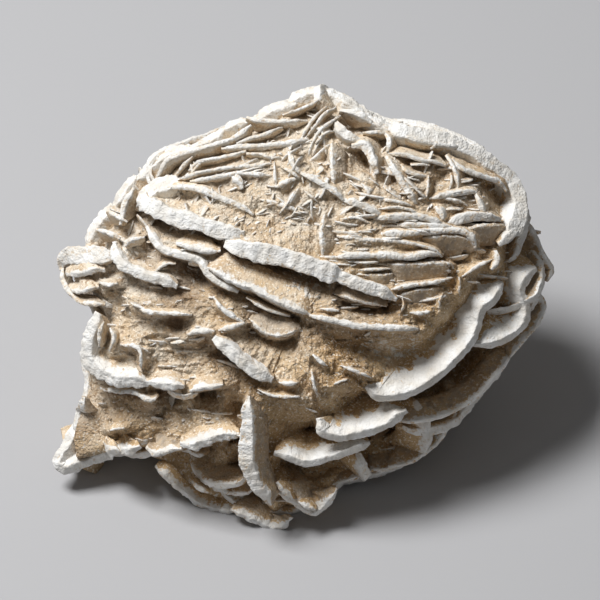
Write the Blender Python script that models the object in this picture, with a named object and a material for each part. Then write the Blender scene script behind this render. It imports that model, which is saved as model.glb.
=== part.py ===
"""Gypsum sand rose: one cluster of lens-shaped crystals grown together.

Sizes are in millimetres until a point is placed, then in metres. The cluster
is described along its growth axis, which leans LEAN degrees forward from
upright: u runs to the right, v up across the face and w out of the face.
"""

import math
import random

import bmesh
import bpy
from mathutils import Matrix, Vector

MM = 0.001
LEAN = math.radians(45.0)
GROUND_OFFSET = 26.2
SHIFT_RIGHT = 0.9
SHIFT_BACK = -3.5
FOOT_CUT = 60.0
SEED = 11

RIGHT = Vector((1.0, 0.0, 0.0))
UP_FACE = Vector((0.0, math.sin(LEAN), math.cos(LEAN)))
OUT_OF_FACE = Vector((0.0, -math.cos(LEAN), math.sin(LEAN)))
UPRIGHT = Vector((0.0, math.cos(LEAN), math.sin(LEAN)))
HEART = Vector((0.0, 2.0, -6.0))
OUTLINE_WAVES = (3, 5, 8)
OUTLINE_WOBBLE = 0.10
OUTLINE_POWER = 2.7
SEGMENTS_PER_MM = 0.9
FEWEST_SEGMENTS = 8
MOST_SEGMENTS = 18
LUMP_WAVES = 4.0
LUMP_WOBBLE = 0.05

SAND_COLOUR = (0.72, 0.62, 0.48, 1.0)

# Sandy lumps that the crystals grow out of: centre (u, v, w), radii (u, v, w)
LUMPS = (
    ((0.0, 0.0, -7.0), (30.0, 28.0, 19.0)),
    ((-6.0, 18.0, -2.0), (20.0, 13.0, 12.0)),
    ((16.0, 14.0, -3.0), (18.0, 16.0, 14.0)),
    ((-24.0, -6.0, -4.0), (12.0, 14.0, 11.0)),
    ((-3.0, -14.0, -3.0), (17.0, 17.0, 14.0)),
    ((-27.0, -17.0, -5.5), (9.0, 5.5, 8.5)),
    ((-26.0, 10.0, -2.0), (9.5, 9.0, 8.0)),
    ((2.0, 27.0, -3.0), (12.0, 8.5, 10.0)),
    ((28.0, 2.0, -4.5), (9.0, 13.0, 8.5)),
)

# The face swells like a broad dome, and every crystal's height is told from it
DOME_BASE = -6.0
DOME_RISE = 18.5
DOME_WIDE = 41.0
DOME_TALL = 39.0
DOME_MIDDLE = 1.0

# Crystals: name, then the left end, the outermost point and the right end of
# the rim that shows, each as (u, v), how far the outermost point stands over
# the dome, how far the ends dip below it, the rim's thickness and the middle's
CRYSTALS = (
    # shoulder and peak
    ("shoulder_0", (-36.2, 9.0), (-34.3, 14.6), (-30.5, 19.0), -3.5, 1.5, 2.4, 5.0),
    ("shoulder_1", (-33.5, 14.5), (-30.6, 19.7), (-26.5, 23.2), -3.5, 1.5, 2.4, 5.0),
    ("shoulder_2", (-28.5, 21.0), (-24.0, 25.9), (-17.5, 27.6), -3.0, 2.0, 2.2, 5.0),
    ("shoulder_3", (-19.5, 26.6), (-14.8, 29.2), (-11.5, 31.4), -3.5, 1.5, 2.0, 5.0),
    ("shoulder_4", (-14.0, 29.4), (-8.5, 32.0), (-1.5, 34.9), -4.0, 1.5, 2.4, 5.0),
    ("peak", (-3.0, 34.4), (2.5, 36.8), (10.0, 32.6), -3.0, 3.0, 2.6, 6.0),
    ("shoulder_5", (4.5, 34.6), (12.5, 31.2), (21.0, 29.6), -3.5, 1.5, 2.4, 5.0),
    # arcs nested over the upper left
    ("arc_1", (-27.6, 15.5), (-25.6, 21.3), (-20.0, 25.4), 0.5, 2.5, 1.5, 4.0),
    ("arc_2", (-24.0, 20.0), (-20.8, 23.8), (-13.5, 26.8), 1.0, 2.0, 1.2, 3.0),
    ("arc_3", (-20.0, 21.0), (-16.0, 24.6), (-8.5, 28.0), 1.5, 1.5, 1.2, 3.0),
    ("arc_4", (-22.0, 25.2), (-16.5, 27.6), (-10.5, 30.4), -2.0, 1.5, 1.1, 3.0),
    ("arc_5", (-13.0, 27.4), (-8.0, 30.4), (1.0, 33.0), 1.0, 1.5, 1.2, 3.0),
    ("arc_6", (-17.5, 22.3), (-10.0, 25.3), (-1.0, 29.4), 0.5, 1.5, 1.2, 3.0),
    ("arc_7", (-16.5, 20.3), (-9.0, 23.5), (1.5, 28.3), 1.5, 1.5, 1.1, 3.0),
    ("arc_8", (-9.0, 25.6), (-3.0, 26.4), (4.2, 31.4), 1.0, 1.5, 1.0, 3.0),
    ("arc_9", (-4.0, 32.0), (1.5, 33.6), (6.5, 31.2), 1.0, 1.5, 1.3, 3.0),
    # collar: the thick band across the middle, in three steps
    ("collar_lobe", (-27.6, 15.6), (-25.0, 18.6), (-16.0, 17.2), 1.0, 3.5, 4.0, 7.0),
    ("collar_1", (-28.0, 18.2), (-18.5, 13.9), (-8.5, 12.6), 2.5, 2.0, 2.4, 6.0),
    ("collar_2", (-13.0, 9.2), (-4.0, 8.5), (5.2, 6.2), 3.0, 2.5, 2.4, 6.0),
    ("collar_3", (4.5, 5.6), (9.5, 3.9), (14.6, 2.0), 3.0, 2.0, 1.9, 5.0),
    ("inner_ridge", (-26.0, 20.4), (-13.5, 17.8), (-0.8, 14.8), 2.0, 1.5, 1.1, 4.0),
    # below the collar
    ("under_1", (-25.2, 13.4), (-19.5, 8.4), (-8.5, 7.4), 1.0, 1.5, 1.4, 5.0),
    ("under_2", (-21.0, 10.4), (-17.5, 9.8), (-12.5, 8.8), 2.0, 1.5, 0.8, 3.0),
    ("gritty", (-15.8, 7.4), (-7.0, 2.6), (3.0, -0.4), 2.0, 1.5, 2.4, 7.0),
    ("hanging", (-9.5, 2.6), (-4.8, -3.6), (1.5, -1.4), 0.0, 1.5, 1.0, 3.0),
    ("thin_rim", (0.2, -0.9), (9.0, -2.6), (18.8, -3.0), 2.0, 2.5, 1.1, 4.0),
    # crown: thin crystals that cross each other
    ("cross_1", (4.5, 27.6), (3.9, 23.3), (4.4, 19.4), 2.0, 1.5, 0.8, 2.0),
    ("cross_2", (-2.9, 25.3), (-1.4, 22.3), (0.9, 20.8), 2.5, 1.5, 0.8, 2.0),
    ("cross_3", (-0.6, 21.8), (5.2, 19.0), (13.0, 14.5), 2.5, 1.5, 1.0, 3.0),
    ("cross_4", (-4.9, 24.8), (-4.8, 22.2), (-4.6, 19.5), 2.0, 1.5, 0.8, 2.0),
    ("cross_5", (-5.2, 19.4), (-2.8, 20.7), (-0.7, 21.4), 2.0, 1.5, 0.8, 2.0),
    ("cross_6", (-3.5, 16.4), (-2.4, 18.2), (-1.0, 19.4), 2.0, 1.5, 0.8, 2.0),
    ("cross_7", (7.3, 26.4), (9.9, 26.0), (11.6, 21.4), 2.0, 2.0, 1.4, 2.4),
    ("cross_8", (4.6, 29.2), (6.5, 31.2), (9.4, 32.2), 1.0, 1.5, 1.3, 2.4),
    ("cross_9", (12.4, 26.2), (15.1, 21.2), (18.2, 16.4), 2.0, 2.0, 1.0, 3.0),
    ("cross_10", (13.0, 25.3), (17.6, 24.5), (23.6, 22.9), 2.0, 1.5, 0.9, 3.0),
    ("cross_11", (15.0, 23.4), (16.8, 21.9), (19.8, 21.3), 2.0, 1.5, 0.8, 2.0),
    ("cross_12", (19.5, 21.7), (19.8, 19.8), (19.9, 17.6), 2.0, 1.5, 0.8, 2.0),
    ("cross_13", (22.6, 25.2), (24.6, 22.4), (24.8, 18.8), 1.5, 1.5, 1.0, 2.4),
    ("cross_14", (23.4, 24.0), (27.6, 21.7), (32.6, 19.8), 1.5, 1.5, 0.9, 3.0),
    ("cross_15", (19.5, 17.7), (25.0, 18.9), (28.4, 18.0), 2.0, 2.0, 0.9, 3.0),
    ("cross_16", (27.0, 18.8), (28.0, 16.9), (28.9, 14.8), 2.0, 1.5, 1.0, 2.4),
    ("cross_17", (20.6, 16.6), (21.6, 15.8), (22.0, 13.8), 2.0, 1.5, 1.0, 2.0),
    ("cross_18", (21.8, 13.0), (27.5, 14.6), (32.2, 13.8), 2.0, 2.5, 1.3, 3.0),
    ("cross_19", (9.3, 19.9), (10.3, 18.5), (10.6, 17.4), 2.0, 1.5, 0.7, 2.0),
    ("pillar", (3.1, 16.4), (2.6, 12.0), (2.8, 8.0), 2.5, 1.5, 0.9, 2.4),
    # louvres: flat thin crystals right of the middle
    ("louvre_1", (9.5, 17.2), (13.5, 17.4), (17.8, 16.8), 2.5, 1.5, 0.8, 3.0),
    ("louvre_2", (10.5, 14.2), (16.5, 14.9), (22.2, 13.6), 2.5, 1.5, 0.9, 3.0),
    ("louvre_3", (5.0, 14.6), (7.5, 14.2), (10.2, 13.4), 3.0, 1.5, 0.7, 2.0),
    ("louvre_4", (13.0, 13.2), (19.0, 13.4), (25.0, 12.9), 2.5, 2.0, 0.9, 3.0),
    ("louvre_5", (13.5, 11.0), (21.0, 12.6), (28.6, 9.6), 2.5, 4.0, 1.2, 4.0),
    ("louvre_6", (4.8, 11.9), (13.5, 11.2), (21.9, 9.2), 3.0, 1.5, 0.8, 3.0),
    ("louvre_7", (4.6, 8.6), (12.5, 8.8), (21.8, 8.4), 3.0, 1.5, 1.2, 4.0),
    ("louvre_8", (14.5, 7.0), (19.5, 7.9), (24.3, 6.4), 2.0, 2.0, 1.5, 4.0),
    ("louvre_9", (6.8, 6.2), (10.6, 6.6), (14.0, 6.2), 2.5, 1.5, 0.8, 3.0),
    ("louvre_10", (12.3, 2.9), (17.5, 4.1), (23.4, 4.6), 2.0, 2.0, 0.9, 3.0),
    ("louvre_11", (15.3, -0.8), (18.5, -0.4), (21.4, 0.3), 2.0, 1.5, 0.9, 3.0),
    # right rim and the lobes outside it
    ("rim_a", (14.0, 30.6), (30.8, 24.6), (36.0, 12.6), 1.5, 6.0, 2.8, 6.0),
    ("rim_a_low", (33.0, 22.5), (35.6, 16.5), (31.2, 10.6), 1.5, 3.5, 2.4, 5.0),
    ("rim_a_tip", (31.5, 12.4), (32.0, 10.2), (30.2, 8.4), 1.0, 1.5, 1.8, 3.0),
    ("lobe_1", (35.0, 16.2), (40.2, 7.3), (36.5, -0.5), -2.0, 6.0, 2.2, 5.0),
    ("lobe_2", (38.2, 4.2), (38.8, -1.0), (32.5, -7.2), -2.0, 2.5, 1.8, 4.0),
    ("tip_b", (24.8, 5.2), (28.6, 7.6), (31.2, 9.6), 1.5, 2.0, 0.9, 3.0),
    # petals curling round the lower right
    ("petal_b", (8.5, -13.0), (21.8, -10.6), (32.6, 5.4), 0.0, 4.0, 2.4, 8.0),
    ("petal_c", (26.0, -6.5), (34.9, -3.4), (38.0, 7.0), -1.0, 4.0, 2.0, 6.0),
    ("petal_d", (14.5, -18.4), (27.0, -14.9), (35.2, -5.0), -3.0, 5.0, 1.7, 8.0),
    ("petal_e", (8.0, -27.0), (19.8, -23.8), (26.4, -15.5), -7.0, 3.5, 1.6, 8.0),
    ("petal_e2", (3.5, -29.0), (10.8, -27.0), (17.0, -21.0), -9.5, 1.5, 1.5, 7.0),
    ("petal_f", (1.6, -17.2), (8.0, -18.9), (17.2, -15.6), 0.0, 3.5, 3.2, 8.0),
    ("petal_g", (-5.8, -22.4), (2.0, -23.6), (11.4, -20.9), -1.0, 3.5, 2.6, 8.0),
    # spur and the small ledges of the lower middle
    ("diag_spur", (-15.2, -3.6), (-9.8, -8.4), (-4.8, -12.2), 2.0, 2.0, 2.0, 4.0),
    ("spur", (-9.6, -11.5), (-9.4, -21.5), (-5.8, -31.8), 2.0, 2.5, 2.0, 5.0),
    ("mini_1", (-6.2, -11.3), (-3.0, -11.7), (0.2, -11.0), 1.5, 1.5, 0.9, 3.0),
    ("mini_2", (-8.2, -12.2), (-4.5, -13.8), (-0.2, -13.8), 1.5, 1.5, 0.7, 3.0),
    ("mini_3", (0.8, -9.3), (1.4, -11.8), (2.2, -14.2), 1.5, 1.5, 0.6, 2.0),
    ("mini_4", (5.4, -8.5), (8.5, -9.8), (11.4, -11.0), 1.5, 1.5, 0.7, 2.0),
    # left arm and the two broad ledges below it
    ("arm_top", (-40.0, 8.2), (-35.0, 5.2), (-24.0, 8.4), -0.5, 1.5, 3.0, 7.0),
    ("arm_low", (-39.0, 4.4), (-35.6, 1.0), (-28.0, 3.4), -2.0, 1.5, 1.7, 5.0),
    ("curl", (-31.8, 9.4), (-27.4, 6.6), (-20.2, 4.1), 0.5, 1.5, 1.7, 4.0),
    ("left_shelf", (-28.2, 0.5), (-23.0, -0.7), (-16.8, -0.9), 1.5, 1.5, 0.9, 3.0),
    ("strip", (-15.2, 2.5), (-13.0, 0.3), (-10.2, -1.8), 1.0, 1.5, 1.0, 3.0),
    ("bits", (-19.8, -3.9), (-15.5, -3.2), (-10.8, -2.0), 1.0, 1.5, 1.1, 3.0),
    ("ledge_1", (-37.0, -5.5), (-26.5, -13.2), (-12.5, -7.0), 0.5, 4.0, 3.0, 8.0),
    ("ledge_1b", (-25.5, -11.8), (-19.0, -12.3), (-12.6, -11.4), 1.0, 1.5, 1.6, 4.0),
    ("ledge_1c", (-35.0, -1.0), (-36.4, -3.8), (-33.0, -8.0), 0.5, 1.5, 2.2, 5.0),
    ("ledge_2", (-38.0, -16.5), (-25.0, -23.6), (-10.5, -17.5), 0.5, 2.0, 2.6, 8.0),
    ("ledge_2_tip", (-38.9, -19.0), (-39.8, -25.8), (-30.0, -23.4), 1.5, 2.5, 2.4, 7.0),
    # foot
    ("foot_left", (-25.5, -24.5), (-17.5, -32.2), (-6.0, -35.0), -5.0, 3.0, 1.8, 8.0),
    ("foot_mid", (-9.5, -33.3), (-5.0, -35.8), (-2.0, -31.0), -2.0, 3.0, 2.0, 5.0),
    ("foot_right", (-5.2, -27.8), (0.6, -32.8), (6.2, -27.0), -2.0, 3.5, 1.7, 7.0),
)

# Crystals of the back and the underside stand on an even spiral round the back
BACK_CRYSTALS = 46
BACK_EDGE = 0.12
GOLDEN_ANGLE = math.pi * (3.0 - math.sqrt(5.0))
BACK_SINK = 8.0
BACK_MIDDLE = 6.0
CROSSING_EVERY = 5
CROSSING_HALF_LENGTH = 9.0
# How the crystals of the back vary: the mean, the swing either side of it and
# the number of radians from one crystal to the next
BACK_SPIN = (0.0, math.radians(22.0), 2.4)
BACK_HALF_LENGTH = (12.5, 3.5, 1.7)
BACK_STAND_OUT = (2.5, 1.0, 3.1)
BACK_RIM = (1.9, 0.5, 2.3)


def place(point):
    """Turn a point (u, v, w) of the growth frame, in mm, into a world point in metres."""
    u, v, w = point
    world = RIGHT * u + UP_FACE * v + OUT_OF_FACE * w
    world += Vector((SHIFT_RIGHT, SHIFT_BACK, GROUND_OFFSET))
    return world * MM


def dome(u, v):
    """Give the height w of a broad dome under the face of the cluster."""
    inside = 1.0 - (u / DOME_WIDE) ** 2 - ((v - DOME_MIDDLE) / DOME_TALL) ** 2
    return DOME_BASE + DOME_RISE * math.sqrt(max(inside, 0.0))


def on_dome(spot, lift):
    """Place the spot (u, v) this far over the dome."""
    u, v = spot
    return place((u, v, dome(u, v) + lift))


def swing(number, mean, size, step):
    """Vary a size from crystal to crystal by a wave, so that no two neighbours are alike."""
    return mean + size * math.sin(step * number)


def make_object(name, bm, collection, material):
    """Put a bmesh in an object of its own in the collection."""
    bmesh.ops.recalc_face_normals(bm, faces=bm.faces)
    mesh = bpy.data.meshes.new(name)
    bm.to_mesh(mesh)
    bm.free()
    mesh.materials.append(material)
    made = bpy.data.objects.new(name, mesh)
    collection.objects.link(made)
    return made


def wobble(angle, phases):
    """Sum a few sine waves round the outline, so that no crystal is a true disc."""
    pairs = zip(OUTLINE_WAVES, phases)
    return 1.0 + OUTLINE_WOBBLE * sum(math.sin(waves * angle + phase) / waves for waves, phase in pairs)


def squareness(angle):
    """Give the radius of a superellipse, a rounded outline with fuller corners than a circle."""
    powers = abs(math.cos(angle)) ** OUTLINE_POWER + abs(math.sin(angle)) ** OUTLINE_POWER
    return powers ** (-1.0 / OUTLINE_POWER)


def add_crystal(name, left, outermost, right, rim, middle, collection, material, rng):
    """Make a lens-shaped crystal: a short cylinder whose two caps rise to a point."""
    centre = (left + right) / 2.0
    along = (right - left) / 2.0
    outward = outermost - centre
    normal = along.cross(outward).normalized()
    segments = round(along.length / MM * SEGMENTS_PER_MM) + FEWEST_SEGMENTS // 2
    segments = max(FEWEST_SEGMENTS, min(MOST_SEGMENTS, segments))

    bm = bmesh.new()
    bmesh.ops.create_cone(bm, cap_ends=True, segments=segments, radius1=1.0, radius2=1.0, depth=rim * MM)
    caps = [face for face in bm.faces if abs(face.normal.z) > 0.5]
    bmesh.ops.poke(bm, faces=caps, offset=(middle - rim) / 2.0 * MM)
    phases = [rng.uniform(0.0, math.tau) for _ in OUTLINE_WAVES]
    for vertex in bm.verts:
        angle = math.atan2(vertex.co.y, vertex.co.x)
        scale = squareness(angle) * wobble(angle, phases)
        vertex.co.x *= scale
        vertex.co.y *= scale
    axes = Matrix((along, outward, normal)).transposed().to_4x4()
    bmesh.ops.transform(bm, matrix=Matrix.Translation(centre) @ axes, verts=bm.verts)
    return make_object(name, bm, collection, material)


def add_lump(name, centre, radii, collection, material, rng):
    """Make a sandy lump: a sphere stretched along the growth frame, slightly uneven."""
    bm = bmesh.new()
    bmesh.ops.create_uvsphere(bm, u_segments=16, v_segments=10, radius=1.0)
    phases = [rng.uniform(0.0, math.tau) for _ in range(3)]
    for vertex in bm.verts:
        unit = vertex.co.copy()
        waves = [math.sin(LUMP_WAVES * part + phase) for part, phase in zip(unit, phases)]
        stretch = 1.0 + LUMP_WOBBLE * sum(waves) / 3.0
        offset = Vector([part * radius for part, radius in zip(unit, radii)]) * stretch
        vertex.co = place(Vector(centre) + offset)
    return make_object(name, bm, collection, material)


def skin_distance(direction):
    """Measure from HEART along a growth-frame direction to the skin of the lumps."""
    farthest = 0.0
    for centre, radii in LUMPS:
        start = Vector([(part - middle) / radius for part, middle, radius in zip(HEART, centre, radii)])
        step = Vector([part / radius for part, radius in zip(direction, radii)])
        half = start.dot(step)
        root = half * half - step.dot(step) * (start.dot(start) - 1.0)
        if root > 0.0:
            farthest = max(farthest, (math.sqrt(root) - half) / step.dot(step))
    return farthest


def back_points(direction, spin, half_length, stand_out):
    """Give the left end, outermost point and right end of a rim on the back."""
    level = direction.cross(UPRIGHT).normalized()
    upright = level.cross(direction)
    along = level * math.cos(spin) + upright * math.sin(spin)
    skin = skin_distance(direction)
    outermost = HEART + direction * (skin + stand_out)
    middle = HEART + direction * (skin - BACK_SINK)
    return middle - along * half_length, outermost, middle + along * half_length


def add_back_crystals(collection, material, rng):
    """Cover the back: mostly level crystals, with one in CROSSING_EVERY set across them."""
    for number in range(BACK_CRYSTALS):
        depth = 1.0 - 2.0 * (number + 0.5) / BACK_CRYSTALS
        if depth > BACK_EDGE:
            continue
        ring = math.sqrt(1.0 - depth * depth)
        turn = number * GOLDEN_ANGLE
        direction = Vector((ring * math.cos(turn), ring * math.sin(turn), depth))
        spin = swing(number, *BACK_SPIN)
        half_length = swing(number, *BACK_HALF_LENGTH)
        if number % CROSSING_EVERY == 0:
            spin += math.pi / 2.0
            half_length = CROSSING_HALF_LENGTH
        points = back_points(direction, spin, half_length, swing(number, *BACK_STAND_OUT))
        ends = [place(point) for point in points]
        rim = swing(number, *BACK_RIM)
        add_crystal(f"back_{number}", *ends, rim, BACK_MIDDLE, collection, material, rng)


def add_ground_cutter(collection, material):
    """Make the block whose top face leaves the flat foot at z = 0."""
    side = 4.0 * FOOT_CUT * MM
    bm = bmesh.new()
    bmesh.ops.create_cube(bm, size=side)
    bmesh.ops.translate(bm, vec=(0.0, 0.0, -side / 2.0), verts=bm.verts)
    return make_object("ground_cutter", bm, collection, material)


def keep_outer_skin(mesh):
    """Delete every closed shell except the one with the most faces."""
    bm = bmesh.new()
    bm.from_mesh(mesh)
    unseen = set(bm.verts)
    shells = []
    while unseen:
        start = unseen.pop()
        shell = {start}
        front = [start]
        while front:
            vertex = front.pop()
            for edge in vertex.link_edges:
                neighbour = edge.other_vert(vertex)
                if neighbour not in shell:
                    shell.add(neighbour)
                    front.append(neighbour)
        unseen -= shell
        shells.append(shell)
    shells.sort(key=len)
    spare = [vertex for shell in shells[:-1] for vertex in shell]
    bmesh.ops.delete(bm, geom=spare, context="VERTS")
    bm.to_mesh(mesh)
    bm.free()


def add_boolean(target, operation, collection=None, cutter=None):
    """Add an exact Boolean with one object or with a whole collection."""
    modifier = target.modifiers.new(operation.lower(), "BOOLEAN")
    modifier.operation = operation
    modifier.solver = "EXACT"
    if collection:
        modifier.operand_type = "COLLECTION"
        modifier.collection = collection
    else:
        modifier.object = cutter


def make_material():
    """Sandy gypsum: pale tan, dull, not metal."""
    material = bpy.data.materials.new("sandy_gypsum")
    material.use_nodes = True
    shader = material.node_tree.nodes["Principled BSDF"]
    shader.inputs["Base Color"].default_value = SAND_COLOUR
    shader.inputs["Roughness"].default_value = 0.85
    shader.inputs["Metallic"].default_value = 0.0
    material.diffuse_color = SAND_COLOUR
    return material


for leftover in list(bpy.data.objects):
    bpy.data.objects.remove(leftover, do_unlink=True)

rose_parts = bpy.data.collections.new("sand_rose")
growth = bpy.data.collections.new("growth")
cutters = bpy.data.collections.new("cutters")
for collection in (rose_parts, growth, cutters):
    bpy.context.scene.collection.children.link(collection)

gypsum = make_material()
dice = random.Random(SEED)

first, *others = LUMPS
rose = add_lump("sand_rose", *first, rose_parts, gypsum, dice)
for number, (centre, radii) in enumerate(others, 2):
    add_lump(f"lump_{number}", centre, radii, growth, gypsum, dice)
for name, left, outermost, right, lift, dip, rim, middle in CRYSTALS:
    ends = [on_dome(left, lift - dip), on_dome(outermost, lift), on_dome(right, lift - dip)]
    add_crystal(name, *ends, rim, middle, growth, gypsum, dice)
add_back_crystals(growth, gypsum, dice)

ground = add_ground_cutter(cutters, gypsum)
add_boolean(rose, "UNION", collection=growth)
add_boolean(rose, "DIFFERENCE", cutter=ground)
depsgraph = bpy.context.evaluated_depsgraph_get()
grown = bpy.data.meshes.new_from_object(rose.evaluated_get(depsgraph))
keep_outer_skin(grown)
rose.modifiers.clear()
rose.data = grown
grown.name = "sand_rose"

for blank in list(growth.objects):
    bpy.data.objects.remove(blank, do_unlink=True)
bpy.data.collections.remove(growth)
ground.hide_render = True
ground.display_type = "WIRE"
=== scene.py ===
"""Gypsum sand rose: chalky crystal blades grown through one another, with sand caught between."""

import math

import bmesh
import bpy
import numpy as np
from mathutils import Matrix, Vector
from mathutils.bvhtree import BVHTree


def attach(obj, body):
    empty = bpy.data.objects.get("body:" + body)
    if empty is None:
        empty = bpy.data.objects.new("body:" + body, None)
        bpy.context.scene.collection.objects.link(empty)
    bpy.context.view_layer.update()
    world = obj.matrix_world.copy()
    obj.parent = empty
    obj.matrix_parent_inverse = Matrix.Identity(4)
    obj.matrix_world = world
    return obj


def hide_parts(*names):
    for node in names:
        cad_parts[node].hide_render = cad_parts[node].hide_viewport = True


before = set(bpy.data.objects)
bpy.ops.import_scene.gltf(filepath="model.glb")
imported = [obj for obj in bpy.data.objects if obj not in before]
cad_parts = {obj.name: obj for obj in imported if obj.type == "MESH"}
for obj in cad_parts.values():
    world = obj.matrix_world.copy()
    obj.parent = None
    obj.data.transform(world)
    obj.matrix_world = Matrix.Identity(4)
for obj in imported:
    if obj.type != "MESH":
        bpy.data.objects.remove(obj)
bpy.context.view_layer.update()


# Shoulder: crystal blades of white gypsum along the top edge and nested over the upper left.
# Each grew edge-on out of damp sand, so only a strip along its rim is clean, and the rest of
# it is coated with the sand that it closed round. It is fixed by having grown into the others.
MM = 0.001
LEAN = math.radians(45.0)
SHIFT = np.array([0.9, -3.5, 26.2])
AXES = np.array([
    [1.0, 0.0, 0.0],
    [0.0, math.sin(LEAN), math.cos(LEAN)],
    [0.0, -math.cos(LEAN), math.sin(LEAN)],
])


def place(points):
    """Turn growth-frame points into world points in metres: shift plus u, v, w times their axes.

    The cluster leans LEAN forward from upright: u runs to the right, v up across its face and
    w out of the face, all in millimetres from its middle.
    """
    return (np.asarray(points, float) @ AXES + SHIFT) * MM


def smoothstep(low, high, values):
    """Rise smoothly from 0 at low to 1 at high: three parts squared less two parts cubed."""
    part = np.clip((values - low) / (high - low), 0.0, 1.0)
    return part * part * (3.0 - 2.0 * part)


def unit(vectors):
    """Each vector divided by its length."""
    return vectors / np.linalg.norm(vectors, axis=-1, keepdims=True)


# What the noise's cells and seeds are multiplied by, and the bits that are kept of them
CELL_PRIMES = np.array([374761393, 668265263, 1274126177])
SEED_PRIME = 69069
WHOLE_BITS = 0xFFFFFFFF
VALUE_BITS = 0xFFFFFF


def lattice(cells, seed):
    """Scramble whole-number cells into even values from 0 to 1: prime products, shifted and mixed."""
    mixed = cells @ CELL_PRIMES + seed * SEED_PRIME
    mixed = (mixed ^ (mixed >> 13)) * CELL_PRIMES[2] & WHOLE_BITS
    return ((mixed ^ (mixed >> 16)) & VALUE_BITS) / float(VALUE_BITS)


def noise(points, size, seed=0):
    """Smooth noise from -1 to 1: the values of a cell's corners, blended by a smoothstep across it."""
    scaled = points / size
    cell = np.floor(scaled).astype(np.int64)
    part = smoothstep(0.0, 1.0, scaled - cell)
    total = np.zeros(points.shape[:-1])
    for corner in np.ndindex(2, 2, 2):
        weight = np.prod(np.where(np.array(corner) == 1, part, 1.0 - part), axis=-1)
        total += weight * lattice(cell + np.array(corner), seed)
    return total * 2.0 - 1.0


def layered(points, layers, seed, base=0.0):
    """A base plus noises, each given as (size, strength), with seeds that count up."""
    total = base
    for number, (size, strength) in enumerate(layers):
        total = total + strength * noise(points, size, seed + number)
    return total


# The broad dome under the whole face: its lowest height, rise, half widths and middle
DOME_BASE = -6.0
DOME_RISE = 18.5
DOME_WIDE = 41.0
DOME_TALL = 39.0
DOME_MIDDLE = 1.0


def dome(u, v):
    """Height of the dome: base plus rise times the root of 1 less the squared radius."""
    inside = 1.0 - (u / DOME_WIDE) ** 2 - ((v - DOME_MIDDLE) / DOME_TALL) ** 2
    return DOME_BASE + DOME_RISE * np.sqrt(np.clip(inside, 0.0, 1.0))


def run_along(points):
    """Length along a line of points, from 0 at its start."""
    return np.concatenate([[0.0], np.cumsum(np.linalg.norm(np.diff(points, axis=0), axis=1))])


# Steps between two knots of a path before it is resampled, and the fewest after that
CURVE_STEPS = 24
FEWEST_STEPS = 6


def smooth_line(path, spacing):
    """A Catmull-Rom curve through the path's points, resampled at an even spacing."""
    knots = np.array(path, float)
    knots = np.concatenate([[2.0 * knots[0] - knots[1]], knots, [2.0 * knots[-1] - knots[-2]]])
    step = np.linspace(0.0, 1.0, CURVE_STEPS, endpoint=False)[:, None]
    pieces = []
    for first, second, third, fourth in zip(knots, knots[1:], knots[2:], knots[3:]):
        pieces.append(0.5 * (2.0 * second + (third - first) * step
                             + (2.0 * first - 5.0 * second + 4.0 * third - fourth) * step ** 2
                             + (3.0 * second - first - 3.0 * third + fourth) * step ** 3))
    dense = np.concatenate(pieces + [knots[-2:-1]])
    run = run_along(dense)
    even = np.linspace(0.0, run[-1], max(int(run[-1] / spacing), FEWEST_STEPS) + 1)
    return np.stack([np.interp(even, run, dense[:, axis]) for axis in range(2)], -1), even


# How a rim ends: the length of its taper, at most the whole length over END_SHARE, and how
# far its tip sinks, at most a share of the whole length
END_TAPER = 2.2
END_SHARE = 2.6
END_SINK = 0.8
SINK_SHARE = 0.15
SINK_POWER = 1.5


def rim_of(blade, spacing):
    """A face blade's rim: its smoothed path at dome plus lift, sinking a little at its two ends.

    Also gives how near the ends each point is, rising by a smoothstep from 0 to 1.
    """
    lift, path = blade[3:5]
    line, run = smooth_line(path, spacing)
    total = run[-1]
    close = smoothstep(0.0, 1.0, np.minimum(run, total - run) / min(total / END_SHARE, END_TAPER))
    sink = min(END_SINK, SINK_SHARE * total) * (1.0 - close) ** SINK_POWER
    height = dome(line[:, 0], line[:, 1]) + lift - sink
    return np.concatenate([line, height[:, None]], 1), close


# Where a blade's section has its points. On the face, as shares of its depth and of its clean
# strip, then in even steps up the strip. Round the rim in even steps. On the back, in mm.
DEEP_SHARES = ((1.0, 0.0), (0.6, 0.4), (0.0, 1.6), (0.0, 1.25))
LEAST_STRIP = 0.5
LEAST_REACH = 0.16
STRIP_STEP = 0.4
EDGE_STEP = 0.35
EDGE_REACH = 0.1
EDGE_ROUND = 0.9
CORNER_REACH = 0.15
CORNER_SIDE = 0.97
BACK_REACHES = (0.35, 0.8, 1.6)
BACK_MIDWAY = 0.8


def section_of(thickness, margin, depth):
    """A blade's section from deep on its face round the rim to deep on its back, as reach and side.

    Reach is the distance in from the rim in mm, side runs from 1 on the face to -1 on the back.
    """
    shown = max(margin, LEAST_STRIP)
    face = [deep * depth + strip * shown for deep, strip in DEEP_SHARES]
    face += list(shown * np.linspace(1.0, 0.0, max(int(shown / STRIP_STEP), 2) + 1)[:-1])
    face = np.array([value for value in face if value > LEAST_REACH] + [EDGE_REACH])
    edge = np.linspace(EDGE_ROUND, -EDGE_ROUND, max(int(thickness / EDGE_STEP), 2) + 1)
    back = [EDGE_REACH, *BACK_REACHES, 0.5 * depth + BACK_MIDWAY, depth]
    back = np.array([value for value in back if value <= depth])
    reach = np.concatenate([face, np.zeros_like(edge), back])
    side = np.concatenate([np.where(face > CORNER_REACH, 1.0, CORNER_SIDE), edge,
                           -np.where(back > CORNER_REACH, 1.0, CORNER_SIDE)])
    return reach[:, None], side[:, None]


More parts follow.
